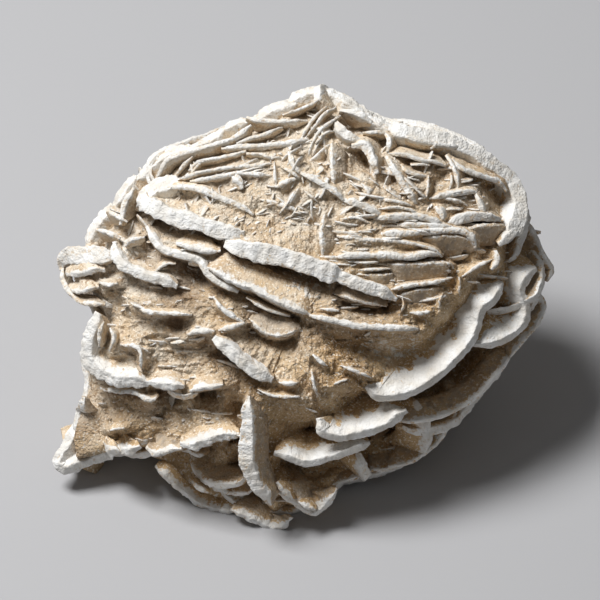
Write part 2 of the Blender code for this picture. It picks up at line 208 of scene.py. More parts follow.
def blade_axes(rim, outer, tilt):
    """A blade's inward and normal directions: outward and uphill, turned by its tilt."""
    tangent = unit(np.gradient(rim, axis=0))
    lean = math.radians(tilt)
    uphill = unit(np.cross(outer, tangent))
    inward = math.sin(lean) * uphill - math.cos(lean) * outer
    normal = math.cos(lean) * uphill + math.sin(lean) * outer
    return inward, unit(normal - tangent * np.sum(normal * tangent, 1)[:, None])


def grown(least, close):
    """A share that grows from least at a crystal's ends to 1 along its middle."""
    return least + (1.0 - least) * close


# A blade reaches in from its rim by twice its clean strip and a little more, within limits
DEPTH_MORE = 3.0
LEAST_DEPTH = 4.0
MOST_DEPTH = 11.0
# Rims this thick are worn in full. The rest of a blade's wear is noise as (size, strength),
# blocks of rim that jut out and sideways, and how far in from the rim each effect reaches
FULL_WEAR = 1.6
TRACK_OFFSETS = (7.3, 3.1)
CHIPS = ((2.6, 1.0), (0.9, 0.7), (0.45, 0.6))
SWELLS = ((2.2, 0.18), (0.8, 0.14))
WANDER = (4.0, 0.12)
BLOCK_LENGTH = 2.4
BLOCK_WANDER = (1.3, 1.1)
BLOCK_JUT = 0.14
BLOCK_SLIP = 0.12
CHIP_REACH = 2.0
SWELL_REACH = (0.3, 2.5)
SWELL_LOST = 0.85
# A thin blade flares from its rim down, over FLARE_REACH, and a thick one widens slowly
THIN_RIM = 1.35
THIN_START = 0.8
THIN_FLARE = 0.42
FLARE_REACH = 2.5
THICK_FLARE = 0.05
# Fine lines across a rim, a crust of grains over it, and how far the crust reaches in
STRIAE_SPACING = 0.4
STRIAE_HEIGHT = 0.05
CRUST_SHARE = 0.5
CRUST_SIZES = (0.9, 0.38)
FINE_CRUST = 0.02
SKIN_SIDE = 0.6
SKIN_REACH = 0.3
# Least shares at the ends of a blade, and how the edges of its chalk and clean masks run
END_HALF = 0.45
END_DEPTH = 0.25
END_STRIP = 0.6
BACK_STRIP = 0.35
STRIP_NOISE = ((1.4, 0.5), (0.5, 0.35))
STRIP_SEED = 3
CHALK_FADE = 0.6
CLEAN_FADE = 0.5


def blade_shell(rim, close, outer, finish, rough, seed):
    """A closed blade: its section carried along the rim's curve, with its chalk and clean masks.

    Point = rim + inward * reach + normal * side * half thickness. Inward leans from straight
    against the outer direction toward the face's side by the tilt. Thickness and depth shrink
    to the ends, and a thin blade flares into a wedge below its rim. Short stretches of the rim
    are shifted like broken blocks, and noise roughens it.
    """
    thickness, tilt, margin, bare = finish
    run = run_along(rim)
    thick = np.interp(run / run[-1], np.linspace(0.0, 1.0, len(thickness)), thickness)
    widest = max(thickness)
    inward, normal = blade_axes(rim, outer, tilt)
    depth = np.clip(2.0 * margin + DEPTH_MORE, LEAST_DEPTH, MOST_DEPTH)
    reach, side = section_of(widest, margin, depth)

    track = np.stack([run, *(np.full_like(run, seed * offset) for offset in TRACK_OFFSETS)], -1)
    wander = BLOCK_WANDER[1] * noise(track, BLOCK_WANDER[0], seed + 3)
    block = np.floor((run + wander) / BLOCK_LENGTH).astype(np.int64)
    block = np.stack([block, block * 0 + seed, block * 0], -1)
    size = min(widest / FULL_WEAR, 1.0)
    chips = rough * layered(track, CHIPS, seed) + BLOCK_JUT * size * (lattice(block, 5) - 0.5)
    slip = layered(track, (WANDER,), seed + 4, BLOCK_SLIP * size * (lattice(block, 6) - 0.5))
    swell = layered(track, SWELLS, seed + 5, 1.0)

    near_rim = 1.0 - SWELL_LOST * smoothstep(*SWELL_REACH, reach)
    half = 0.5 * thick * grown(END_HALF, close) * (1.0 + (swell - 1.0) * near_rim)
    if widest < THIN_RIM:
        flare = THIN_START + THIN_FLARE * np.minimum(reach, FLARE_REACH)
    else:
        flare = 1.0 + THICK_FLARE * reach
    worn = chips * (1.0 - smoothstep(0.0, CHIP_REACH, reach))
    points = rim + inward * (reach * grown(END_DEPTH, close) - worn)[..., None]
    points = points + normal * (side * half * flare + slip * near_rim)[..., None]

    lines = np.stack([run / STRIAE_SPACING, run * 0, run * 0], -1) + seed
    striae = STRIAE_HEIGHT * size * noise(lines, 1.0, seed + 8)
    coarse = CRUST_SHARE * rough
    crust = layered(points, tuple(zip(CRUST_SIZES, (coarse, FINE_CRUST + coarse))), seed + 9)
    skin = normal * side[..., None] * SKIN_SIDE - inward * (reach < SKIN_REACH)[..., None]
    points = points + skin * (crust + striae)[..., None]

    limit = np.where(side > 0.0, margin, BACK_STRIP * margin) * grown(END_STRIP, close)
    limit = limit * layered(points, STRIP_NOISE, STRIP_SEED, 1.0)
    chalk = 1.0 - smoothstep(-CHALK_FADE, CHALK_FADE, reach - limit)
    clean = np.where(side > 0.0, float(bare), 1.0) * smoothstep(0.0, CLEAN_FADE, reach - limit)
    return close_ends(points), close_ends(chalk[..., None])[..., 0], close_ends(clean[..., None])[..., 0]


def close_ends(grid):
    """Add a column at each end of a grid, gathered in one middle point, so the ends are closed."""
    middle = np.repeat(grid.mean(axis=0, keepdims=True), len(grid), 0)
    return np.concatenate([middle[:, :1], grid, middle[:, -1:]], 1)


# Spacing of the sections along a rim, and how far the seeds of two blades lie apart
RIM_SPACING = 0.3
SEED_STEP = 7


def face_blade(blade, rough, seed):
    """A blade of the face, where outward is straight along w."""
    rim, close = rim_of(blade, RIM_SPACING)
    outer = np.broadcast_to([0.0, 0.0, 1.0], rim.shape)
    finish = (np.atleast_1d(blade[0]), blade[1], blade[2], len(blade) > 5)
    return blade_shell(rim, close, outer, finish, rough, seed)


def grid_faces(around, across):
    """Quads between neighbours of a grid that wraps round in its first direction."""
    rows = np.arange(around)[:, None]
    columns = np.arange(across - 1)[None, :]
    following = (rows + 1) % around
    corners = [rows * across + columns, following * across + columns,
               following * across + columns + 1, rows * across + columns + 1]
    spread = [np.broadcast_to(corner, (around, across - 1)) for corner in corners]
    return np.stack(spread, -1).reshape(-1, 4)


def is_inside_out(points):
    """Tell by the signed volume of its quads whether a closed grid faces inward."""
    quads = points.reshape(-1, 3)[grid_faces(*points.shape[:2])]
    first = np.einsum("ij,ij->i", quads[:, 0], np.cross(quads[:, 1], quads[:, 2]))
    second = np.einsum("ij,ij->i", quads[:, 0], np.cross(quads[:, 2], quads[:, 3]))
    return first.sum() + second.sum() < 0.0


# Painted light on the sand, a pale tint that stands in for where the lamp falls: its share at the
# middle, the distance over which it fades across the face from the lit upper left to the shaded
# lower right, its patches as (size, strength), and the most of it
PAINTED_LIGHT_MIDDLE = 0.36
PAINTED_LIGHT_FADE = 48.0
PAINTED_LIGHT_SLANT = 0.7
PAINTED_LIGHT_PATCHES = ((7.0, 0.3), (2.2, 0.2))
PAINTED_LIGHT_MOST = 0.85


def painted_light_at(points):
    """Share of painted light, a pale tint: more toward the lit upper left of the face, less at the shaded
    lower right, in patches.
    """
    slope = (points[:, 1] - PAINTED_LIGHT_SLANT * points[:, 0]) / PAINTED_LIGHT_FADE
    return np.clip(layered(points, PAINTED_LIGHT_PATCHES, 91, PAINTED_LIGHT_MIDDLE + slope), 0.0, PAINTED_LIGHT_MOST)


# Points nearer than this, in metres, are one point
WELD_GAP = 1e-7


def fill_mesh(name, points, faces, masks, material):
    """Make one mesh object from growth-frame points, flat at the ground, that rides on the root."""
    world = place(points)
    world[:, 2] = np.maximum(world[:, 2], 0.0)
    mesh = bpy.data.meshes.new(name)
    mesh.from_pydata(world, [], faces.tolist())
    # Painted light: every piece is painted paler toward the upper left, where the lamp falls, and less at
    # the lower right, where shade falls
    masks["painted_light"] = painted_light_at(points)
    for label, values in masks.items():
        attribute = mesh.attributes.new(label, "FLOAT", "POINT")
        attribute.data.foreach_set("value", values.astype(np.float32))
    weld = bmesh.new()
    weld.from_mesh(mesh)
    bmesh.ops.remove_doubles(weld, verts=weld.verts, dist=WELD_GAP)
    weld.to_mesh(mesh)
    weld.free()
    mesh.shade_smooth()
    mesh.materials.append(material)
    piece = bpy.data.objects.new(name, mesh)
    bpy.context.scene.collection.objects.link(piece)
    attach(piece, "root")
    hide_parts("sand_rose")


def make_piece(name, shells, whiteness, material):
    """Join closed shells, each a grid with its chalk and clean masks, into one piece."""
    points, faces, chalks, cleans, start = [], [], [], [], 0
    for grid, chalk, clean in shells:
        quads = grid_faces(*grid.shape[:2])
        faces.append((quads[:, ::-1] if is_inside_out(grid) else quads) + start)
        points.append(grid.reshape(-1, 3))
        chalks.append(chalk.ravel() * whiteness)
        cleans.append(clean.ravel())
        start += grid.shape[0] * grid.shape[1]
    masks = {"chalk": np.concatenate(chalks), "clean": np.concatenate(cleans)}
    fill_mesh(name, np.concatenate(points), np.concatenate(faces), masks, material)


def feed(tree, socket, value):
    """Link an output into a socket, or set the socket to a plain value."""
    if isinstance(value, bpy.types.NodeSocket):
        tree.links.new(value, socket)
    else:
        socket.default_value = value


def add_node(tree, kind, settings=(), **inputs):
    """Add a node, set its properties, and link or set its named inputs."""
    node = tree.nodes.new(kind)
    for label, value in dict(settings).items():
        setattr(node, label, value)
    for label, value in inputs.items():
        feed(tree, node.inputs[label.replace("_", " ")], value)
    return node


def stretched(tree, value, low, high, start=0.0, end=1.0):
    """A value stretched so that low gives start and high gives end."""
    return add_node(tree, "ShaderNodeMapRange", Value=value, From_Min=low, From_Max=high,
                    To_Min=start, To_Max=end).outputs["Result"]


def noise_mask(tree, coordinates, pattern):
    """Noise by a pattern: its scale per metre and detail, then its stretch as in stretched."""
    scale, detail, *stretch = pattern
    texture = add_node(tree, "ShaderNodeTexNoise", Vector=coordinates, Scale=scale, Detail=detail)
    return stretched(tree, texture.outputs["Fac"], *stretch)


def mix_colours(tree, factor, first, second):
    """Blend two colours, each a socket or a colour, by a mask."""
    node = add_node(tree, "ShaderNodeMix", {"data_type": "RGBA"})
    for socket, value in ((0, factor), (6, first), (7, second)):
        feed(tree, node.inputs[socket], value)
    return node.outputs[2]


def combine(tree, operation, first, second):
    """One sum or product of two values, each a socket or a number."""
    node = add_node(tree, "ShaderNodeMath", {"operation": operation})
    for socket, value in enumerate((first, second)):
        feed(tree, node.inputs[socket], value)
    return node.outputs[0]


def mask_of(tree, label):
    """The value of a mask stored on the mesh's points."""
    return add_node(tree, "ShaderNodeAttribute", {"attribute_name": label}).outputs["Fac"]


# The sand's colours, and its patterns of noise: scale, detail, low, high, and start and end
DRIFT_HONEY = (0.45, 0.29, 0.14, 1.0)
DRIFT_TAN = (0.66, 0.475, 0.27, 1.0)
# Painted light: the pale tint painted on the sand toward the lit upper left
PAINTED_LIGHT_PALE = (0.78, 0.715, 0.61, 1.0)
GRAIN_PALE = (0.84, 0.76, 0.64, 1.0)
GRAIN_DARK = (0.27, 0.165, 0.09, 1.0)
DRIFTS = (160.0, 3.0, 0.35, 0.65)
PAINTED_LIGHT_BREAKS = (620.0, 4.0, 0.36, 0.62, 0.35, 1.0)
PALE_GRAINS = (2600.0, 2.0, 0.56, 0.66)
DARK_GRAINS = (1500.0, 2.0, 0.60, 0.70, 0.0, 0.75)
FINE_RELIEF = (2900.0, 2.0, 0.3, 0.7, 0.0, 0.6)
BROAD_RELIEF = (1000.0, 3.0, 0.3, 0.7)


def sand_grain_group():
    """Shared sand: honey grains in drifts, pale and dark specks, painted paler where the lamp falls, and a
    grain height.
    """
    group = bpy.data.node_groups.new("sand_grain", "ShaderNodeTree")
    for label, way, kind in (("Vector", "INPUT", "Vector"), ("Dust", "INPUT", "Float"),
                             ("Color", "OUTPUT", "Color"), ("Grain", "OUTPUT", "Float")):
        group.interface.new_socket(label, in_out=way, socket_type="NodeSocket" + kind)
    source = group.nodes.new("NodeGroupInput")
    result = group.nodes.new("NodeGroupOutput")
    where, painted_light = source.outputs["Vector"], source.outputs["Dust"]
    colour = mix_colours(group, noise_mask(group, where, DRIFTS), DRIFT_HONEY, DRIFT_TAN)
    # Painted light: the sand is painted paler toward the lit upper left, broken by noise
    painted_light_share = combine(group, "MULTIPLY", painted_light, noise_mask(group, where, PAINTED_LIGHT_BREAKS))
    colour = mix_colours(group, painted_light_share, colour, PAINTED_LIGHT_PALE)
    colour = mix_colours(group, noise_mask(group, where, PALE_GRAINS), colour, GRAIN_PALE)
    colour = mix_colours(group, noise_mask(group, where, DARK_GRAINS), colour, GRAIN_DARK)
    grain = combine(group, "ADD", noise_mask(group, where, FINE_RELIEF),
                    noise_mask(group, where, BROAD_RELIEF))
    feed(group, result.inputs["Color"], colour)
    feed(group, result.inputs["Grain"], grain)
    return group


sand_grain = sand_grain_group()


def sandy_material(name):
    """Start a material on Object coordinates with the shared sand, painted paler by the painted light mask
    where the lamp falls.
    """
    material = bpy.data.materials.new(name)
    material.use_nodes = True
    tree = material.node_tree
    where = add_node(tree, "ShaderNodeTexCoord").outputs["Object"]
    sand = add_node(tree, "ShaderNodeGroup", {"node_tree": sand_grain}, Vector=where,
                    Dust=mask_of(tree, "painted_light"))
    return material, tree, where, sand


def finish_surface(tree, colour, roughness, sand, strength, distance):
    """Feed the shader its colour, its roughness and a bump from the height of the sand's grain."""
    shader = tree.nodes["Principled BSDF"]
    feed(tree, shader.inputs["Base Color"], colour)
    feed(tree, shader.inputs["Roughness"], roughness)
    bump = add_node(tree, "ShaderNodeBump", Height=sand.outputs["Grain"], Strength=strength,
                    Distance=distance)
    feed(tree, shader.inputs["Normal"], bump.outputs["Normal"])


# The blades' colours, patterns of noise, and where chalk starts and is whole
CHALK_WHITE = (0.84, 0.835, 0.815, 1.0)
CHALK_STAINED = (0.68, 0.64, 0.575, 1.0)
CLEAR_BROWN = (0.30, 0.235, 0.17, 1.0)
CLEAR_GREY = (0.47, 0.395, 0.31, 1.0)
CHALK_RAGS = (900.0, 4.0, 0.3, 0.7, -0.24, 0.24)
CHALK_SPECKS = (2000.0, 2.0, 0.3, 0.7, -0.34, 0.34)
CHALK_STAINS = (420.0, 4.0, 0.35, 0.7)
CLEAR_CLOUDS = (260.0, 3.0, 0.35, 0.65)
BARE_BREAKS = (800.0, 3.0, 0.36, 0.6, 1.0, 0.35)
CHALK_EDGE = (0.30, 0.74)
SAND_ROUGHNESS = 0.88
CLEAR_ROUGHNESS = 0.55


def chalky_gypsum():
    """Blades: crumbly chalk by the rim, a sand coat below it, grey-brown clear gypsum where bare."""
    material, tree, where, sand = sandy_material("chalky_gypsum")
    rags = noise_mask(tree, where, CHALK_RAGS)
    specks = noise_mask(tree, where, CHALK_SPECKS)
    broken = combine(tree, "ADD", combine(tree, "ADD", mask_of(tree, "chalk"), rags), specks)
    white = stretched(tree, broken, *CHALK_EDGE)
    chalk = mix_colours(tree, noise_mask(tree, where, CHALK_STAINS), CHALK_WHITE, CHALK_STAINED)
    clear = mix_colours(tree, noise_mask(tree, where, CLEAR_CLOUDS), CLEAR_BROWN, CLEAR_GREY)
    bare = combine(tree, "MULTIPLY", mask_of(tree, "clean"), noise_mask(tree, where, BARE_BREAKS))
    colour = mix_colours(tree, bare, sand.outputs["Color"], clear)
    colour = mix_colours(tree, white, colour, chalk)
    dull = stretched(tree, bare, 0.0, 1.0, SAND_ROUGHNESS, CLEAR_ROUGHNESS)
    finish_surface(tree, colour, dull, sand, strength=0.75, distance=0.0002)
    return material


gypsum = chalky_gypsum()
face_groups = []


def add_face_blades(name, rows, rough, whiteness, holding, seed):
    """Make one piece of a group of face blades, and note how its rims hold up the sand.

    Rough is the size of its chips in mm, whiteness the strength of its chalk. Holding is the
    sand's slope behind a rim, its reach, and the trench worn outside the rim.
    """
    shells = [face_blade(blade, rough, seed + SEED_STEP * number) for number, blade in enumerate(rows)]
    make_piece(name, shells, whiteness, gypsum)
    face_groups.append((rows, holding))


# A blade is its rim's thickness (or thicknesses along it), the tilt of its face out of upright
# in degrees, the clean strip's width, the rim's lift over the dome, and the rim's path, which
# runs with the face on its left. BARE at the end marks a face with no sand on it.
BARE = "bare"
SHOULDER = (
    (2.6, 58, 1.4, -3.4, ((-31.2, 17.2), (-33.4, 14.6), (-34.9, 11.8), (-35.4, 9.6))),
    (2.4, 58, 1.4, -3.4, ((-27.4, 21.8), (-29.2, 19.8), (-30.9, 16.6))),
    (2.2, 58, 1.4, -3.4, ((-17.6, 26.4), (-21.0, 25.9), (-24.4, 24.0), (-27.4, 21.2))),
    (2.0, 58, 1.4, -3.4, ((-13.0, 29.2), (-15.4, 27.6), (-18.6, 26.4))),
    (2.0, 58, 1.4, -3.4, ((-8.6, 30.4), (-11.0, 30.4), (-13.4, 29.0))),
    (2.4, 58, 1.4, -3.4, ((-1.0, 33.8), (-4.6, 32.8), (-8.8, 30.6))),
    (2.6, 58, 1.4, -3.4, ((11.0, 31.4), (8.0, 33.2), (5.0, 34.9), (1.8, 35.5), (-1.2, 34.8),
        (-3.4, 33.4))),
    (2.4, 58, 1.4, -3.4, ((21.0, 28.4), (15.0, 29.2), (9.0, 31.4))),
    (0.9, 18, 1.0, 1.2, ((-8.6, 29.6), (-12.0, 27.4), (-17.0, 25.8), (-21.6, 24.4), (-23.8, 21.4))),
    (0.7, 12, 0.7, 1.4, ((-9.4, 25.4), (-13.0, 24.5), (-17.0, 23.7), (-18.6, 22.2))),
    (0.6, 12, 0.7, 1.6, ((-5.0, 23.4), (-9.8, 22.9), (-13.4, 22.5), (-17.0, 21.9), (-20.4, 20.8))),
    (0.75, 12, 0.8, 1.8, ((-5.4, 21.4), (-8.4, 21.7), (-11.0, 21.9), (-14.6, 21.3), (-18.4, 20.6))),
    (0.6, 10, 0.7, 1.6, ((-5.0, 24.0), (-7.0, 24.9), (-9.4, 25.0))),
    (0.9, 15, 0.9, 1.2, ((0.6, 27.4), (-3.0, 26.7), (-7.5, 26.3), (-10.4, 26.2), (-13.4, 25.8))),
    (0.8, 15, 0.9, 1.0, ((0.4, 30.4), (-3.4, 30.2), (-7.4, 30.5), (-9.4, 30.9))),
    (0.7, 12, 0.7, 1.0, ((-3.6, 29.2), (-6.4, 28.2), (-9.0, 27.4), (-11.0, 26.6))),
    (0.55, 8, 0.6, 0.6, ((2.2, 33.8), (0.6, 32.9), (-1.4, 32.0), (-3.6, 31.2))),
    (0.55, 8, 0.6, 1.0, ((3.4, 32.7), (1.6, 31.0), (0.2, 29.0), (-1.0, 27.0))),
    (0.55, 8, 0.6, 1.5, ((5.0, 32.5), (3.0, 31.4), (1.8, 29.8), (0.4, 27.8))),
    (0.55, 8, 0.6, 1.6, ((5.6, 31.0), (4.0, 30.0), (2.4, 28.8), (1.0, 26.9))),
    (0.55, 8, 0.6, 1.6, ((4.6, 28.6), (3.0, 28.2), (1.6, 26.6))),
    (0.5, 8, 0.6, 1.5, ((-18.0, 24.6), (-19.6, 23.0), (-20.6, 21.6))),
    (0.5, 8, 0.6, 1.5, ((-16.6, 23.6), (-17.6, 22.6), (-18.4, 21.6))),
    (2.8, 40, 4.5, 0.8, ((-19.6, 20.8), (-23.6, 20.2), (-25.8, 18.2), (-26.2, 15.8))),
    (1.0, 10, 0.8, 1.8, ((-22.0, 19.6), (-17.0, 19.2), (-13.6, 17.8), (-10.4, 16.5), (-8.2, 15.0))),
    (0.8, 8, 0.6, 1.8, ((-7.2, 17.7), (-4.6, 17.0), (-2.2, 16.2), (-0.6, 15.2))),
    (1.2, 15, 1.0, 1.8, ((-10.0, 19.2), (-10.4, 20.6), (-11.6, 21.6))),
    (0.8, 10, 0.6, 0.8, ((-28.4, 14.2), (-30.0, 15.1), (-31.8, 16.0))),
    (1.0, 15, 0.8, 0.8, ((-27.4, 19.6), (-29.0, 17.0), (-29.6, 13.6))),
    (0.9, 10, 0.7, 0.6, ((-29.6, 11.4), (-31.4, 12.4), (-33.6, 13.0))),
)

add_face_blades("shoulder", SHOULDER, rough=0.16, whiteness=0.86,
                holding=(0.12, 4.0, 0.6), seed=100)


# Collar: the thickest blade, a white band of gypsum in three overlapping steps across the
# middle, with a rounded lobe at its left end. Ragged thin rims stand out of the sand below it.
# Each step grew over the end of the next, and sand is banked behind it and holds it fast.
COLLAR = (
    (2.6, 10, 1.2, 2.6, ((-26.0, 18.6), (-25.2, 16.8), (-22.6, 15.4), (-19.6, 14.4), (-16.0, 13.2),
        (-12.8, 12.3), (-9.6, 12.0))),
    (2.9, 8, 1.2, 3.1, ((-12.8, 10.6), (-10.0, 9.6), (-6.6, 8.9), (-3.2, 8.1), (0.4, 7.0), (3.4, 6.0),
        (6.0, 5.2))),
    (1.9, 8, 1.0, 2.8, ((4.2, 5.7), (7.0, 4.6), (10.0, 3.5), (12.6, 2.6), (14.6, 1.7))),
    (1.2, 12, 1.0, 1.2, ((-25.4, 13.4), (-24.0, 11.0), (-22.2, 9.3), (-19.0, 8.4), (-16.8, 7.7),
        (-15.4, 5.6), (-13.4, 4.2), (-10.6, 2.9))),
    (1.0, 20, 1.0, 1.8, ((-20.6, 10.5), (-18.0, 9.9), (-15.4, 9.3), (-13.4, 9.4))),
    (1.0, 50, 0.9, 2.0, ((-15.6, 6.6), (-11.6, 4.4), (-8.0, 2.9), (-5.0, 1.3), (-2.0, 0.0),
        (0.8, -0.9))),
    (1.0, 10, 0.7, 2.2, ((0.6, -0.9), (4.0, -1.7), (8.0, -2.6), (12.0, -2.8), (18.0, -3.1))),
    (0.5, 12, 0.5, 0.8, ((-9.4, 2.0), (-7.4, 0.7), (-5.0, -0.3), (-2.4, -0.9))),
    (0.9, 55, 0.3, 0.0, ((-9.0, -1.4), (-6.6, -3.6), (-3.6, -4.2), (-0.6, -3.0)), BARE),
    (0.6, 45, 0.2, 1.2, ((4.6, 2.6), (9.0, 1.2), (13.0, 0.6)), BARE),
    (0.6, 10, 0.5, 1.6, ((2.4, 0.2), (5.4, -0.1))),
    (0.8, 10, 0.6, 1.2, ((-14.6, 2.2), (-13.4, 0.4), (-12.0, -0.8), (-9.8, -2.0))),
    (0.8, 10, 0.6, 1.2, ((-13.8, -3.2), (-11.6, -2.7), (-9.6, -2.0))),
    (1.0, 12, 0.8, 1.0, ((-18.8, -4.0), (-16.8, -3.5), (-14.4, -3.5))),
    (2.2, 15, 1.8, 2.0, ((-14.6, -4.4), (-12.2, -6.6), (-9.6, -8.6), (-7.4, -10.2), (-5.2, -11.2))),
    (0.6, 15, 0.6, 1.6, ((-4.2, -11.4), (-2.8, -11.8), (-1.0, -11.6))),
    (0.5, 15, 0.5, 1.5, ((-7.6, -12.6), (-5.6, -13.6), (-3.2, -13.9), (-0.8, -13.8))),
    (0.5, 15, 0.5, 1.6, ((1.0, -9.6), (1.3, -11.6), (2.1, -13.8))),
    (0.5, 12, 0.5, 1.6, ((5.6, -8.8), (7.8, -9.8), (10.6, -10.8))),
    (0.5, 12, 0.5, 1.5, ((1.2, -7.0), (2.4, -8.2), (3.6, -8.8))),
    (0.4, 12, 0.5, 1.5, ((4.6, -11.8), (6.8, -11.1))),
    (0.6, 12, 0.5, 1.8, ((16.6, -0.3), (18.6, -0.5), (20.6, -0.1))),
)

add_face_blades("collar", COLLAR, rough=0.15, whiteness=1.0,
                holding=(0.15, 4.5, 2.6), seed=200)


# Crown: thin gypsum blades grown through one another right of the middle, the upper ones
# crossing at all angles and the lower ones lying level like slats, with some bare brown faces.
# They hold each other where they cross, and the sand between them does the rest.
CROWN = (
    (0.8, 35, 0.5, 2.0, ((4.2, 26.6), (4.1, 23.2), (4.5, 19.4)), BARE),
    (0.9, 12, 0.6, 2.4, ((-2.7, 25.3), (-1.9, 23.0), (-0.2, 21.2))),
    (1.0, 12, 0.7, 2.8, ((-0.8, 21.8), (2.0, 20.4), (5.0, 18.6), (6.2, 17.4))),
    (1.1, 15, 0.8, 2.6, ((5.8, 17.6), (8.6, 16.6), (12.4, 14.7))),
    (0.6, 10, 0.5, 2.4, ((-3.8, 22.8), (-2.2, 21.9), (-0.9, 20.9))),
    (0.5, 8, 0.5, 2.0, ((-5.0, 23.6), (-4.9, 21.4), (-4.6, 19.6))),
    (0.8, 10, 0.6, 2.2, ((-4.6, 19.5), (-2.8, 20.4), (-1.0, 21.0))),
    (0.6, 40, 0.4, 2.2, ((-1.2, 19.4), (-2.1, 18.0), (-3.2, 16.3)), BARE),
    (0.4, 8, 0.4, 2.2, ((-0.4, 19.4), (0.8, 18.2), (2.0, 17.0))),
    (0.5, 8, 0.4, 2.2, ((9.0, 20.3), (10.0, 18.8), (10.5, 17.5))),
    (0.5, 8, 0.4, 2.2, ((10.4, 17.4), (13.0, 17.6), (16.4, 17.0))),
    (1.4, 20, 1.0, 2.0, ((7.4, 26.1), (9.4, 26.0), (10.4, 24.2), (11.4, 21.6))),
    (0.8, 10, 0.7, 1.6, ((12.6, 28.4), (13.4, 27.2), (13.2, 25.2))),
    (0.8, 10, 0.7, 1.4, ((13.6, 28.0), (11.6, 28.5), (9.2, 28.3))),
    (1.6, 20, 1.4, 1.6, ((9.0, 27.0), (6.4, 28.2), (4.8, 30.4))),
    (1.2, 15, 1.0, 1.2, ((10.8, 30.0), (8.4, 31.6), (5.6, 32.2))),
    (1.2, 15, 0.9, 2.2, ((12.8, 24.6), (14.2, 22.4), (15.8, 19.8), (17.6, 16.8))),
    (0.8, 12, 0.6, 1.8, ((13.2, 24.9), (16.0, 24.6), (18.4, 23.9), (20.4, 23.7), (22.6, 23.0))),
    (0.5, 8, 0.5, 1.8, ((16.8, 23.2), (18.6, 23.2), (20.0, 23.1))),
    (0.7, 10, 0.5, 2.0, ((15.2, 23.2), (16.2, 22.1), (18.0, 21.4), (19.6, 21.4))),
    (0.6, 35, 0.4, 2.0, ((19.5, 17.8), (19.8, 19.6), (19.7, 21.6)), BARE),
    (0.9, 12, 0.7, 1.6, ((22.6, 24.9), (23.8, 22.6), (24.4, 20.4), (24.4, 19.0))),
    (0.5, 8, 0.4, 1.4, ((23.3, 22.0), (23.4, 20.6), (23.0, 19.2))),
    (0.7, 12, 0.5, 1.6, ((20.1, 25.8), (21.0, 26.4), (22.0, 26.9))),
    (0.9, 12, 0.7, 1.6, ((23.4, 24.2), (25.4, 22.4), (28.6, 21.3), (31.2, 20.4), (32.4, 19.0))),
    (0.9, 12, 0.7, 1.8, ((19.8, 17.7), (23.0, 18.4), (26.6, 18.9), (28.0, 18.2))),
    (1.1, 12, 0.8, 1.8, ((27.2, 18.6), (28.0, 16.6), (28.8, 15.2))),
    (0.5, 8, 0.5, 1.6, ((21.2, 18.0), (24.0, 17.5), (26.0, 16.6))),
    (1.0, 15, 0.8, 2.2, ((20.6, 16.4), (21.6, 15.4), (21.8, 14.2))),
    (1.4, 12, 1.0, 2.0, ((22.4, 13.3), (25.0, 14.5), (28.4, 14.8), (31.4, 14.4))),
    (0.8, 45, 0.2, 1.6, ((32.0, 13.6), (28.6, 13.6), (24.4, 12.6)), BARE),
    (0.8, 40, 0.5, 2.6, ((3.0, 15.2), (2.4, 13.0), (2.4, 11.0), (2.8, 8.4)), BARE),
    (1.1, 12, 0.8, 2.6, ((10.8, 14.6), (14.0, 14.7), (18.4, 14.6), (22.4, 13.5))),
    (1.0, 12, 0.8, 2.4, ((14.6, 13.4), (19.0, 13.3), (24.0, 13.0))),
    (1.0, 12, 0.8, 2.6, ((12.0, 12.0), (16.0, 12.1), (20.0, 12.3), (24.0, 12.6), (26.4, 11.7),
        (27.3, 9.8))),
    (0.8, 50, 0.3, 2.0, ((27.2, 9.6), (26.2, 11.4), (23.0, 12.0), (18.6, 11.5)), BARE),
    (0.6, 10, 0.5, 2.8, ((5.0, 11.7), (9.0, 11.2), (13.6, 11.0), (18.0, 10.3), (20.6, 9.4),
        (21.8, 8.4))),
    (1.0, 12, 0.9, 3.0, ((4.8, 8.4), (9.0, 8.6), (13.4, 8.6), (16.4, 8.3), (19.4, 8.8), (21.6, 8.7))),
    (0.8, 50, 0.3, 2.2, ((23.6, 6.6), (23.0, 7.6), (19.0, 7.6), (13.0, 7.4)), BARE),
    (0.5, 8, 0.5, 2.8, ((5.8, 14.4), (8.0, 14.6), (10.2, 13.7))),
    (0.4, 8, 0.4, 2.6, ((6.6, 12.4), (9.0, 12.5), (12.0, 12.9))),
    (0.5, 10, 0.5, 2.6, ((8.4, 6.2), (11.0, 6.4), (13.6, 6.6))),
    (0.6, 50, 0.2, 2.0, ((14.0, 5.8), (11.6, 5.6), (9.0, 5.8)), BARE),
    (0.7, 10, 0.6, 2.2, ((13.2, 3.0), (16.4, 3.8), (20.0, 4.3), (23.2, 4.9))),
    (0.6, 50, 0.2, 1.6, ((22.0, 3.6), (18.0, 3.2), (14.4, 2.4)), BARE),
    (0.5, 8, 0.5, 2.6, ((11.6, 17.5), (14.4, 17.3), (17.2, 16.5))),
    (0.5, 8, 0.5, 2.6, ((11.6, 16.0), (15.0, 16.2), (18.4, 15.4))),
    (0.4, 8, 0.4, 2.2, ((24.6, 5.4), (24.6, 4.2), (24.5, 2.8))),
    (0.4, 8, 0.4, 2.2, ((21.8, 2.8), (21.2, 1.2), (21.6, 0.0))),
    (0.4, 8, 0.4, 2.0, ((15.4, 2.0), (15.6, 0.8), (15.2, -0.4))),
)

add_face_blades("crown", CROWN, rough=0.10, whiteness=0.84,
                holding=(0.25, 3.0, 0.8), seed=300)


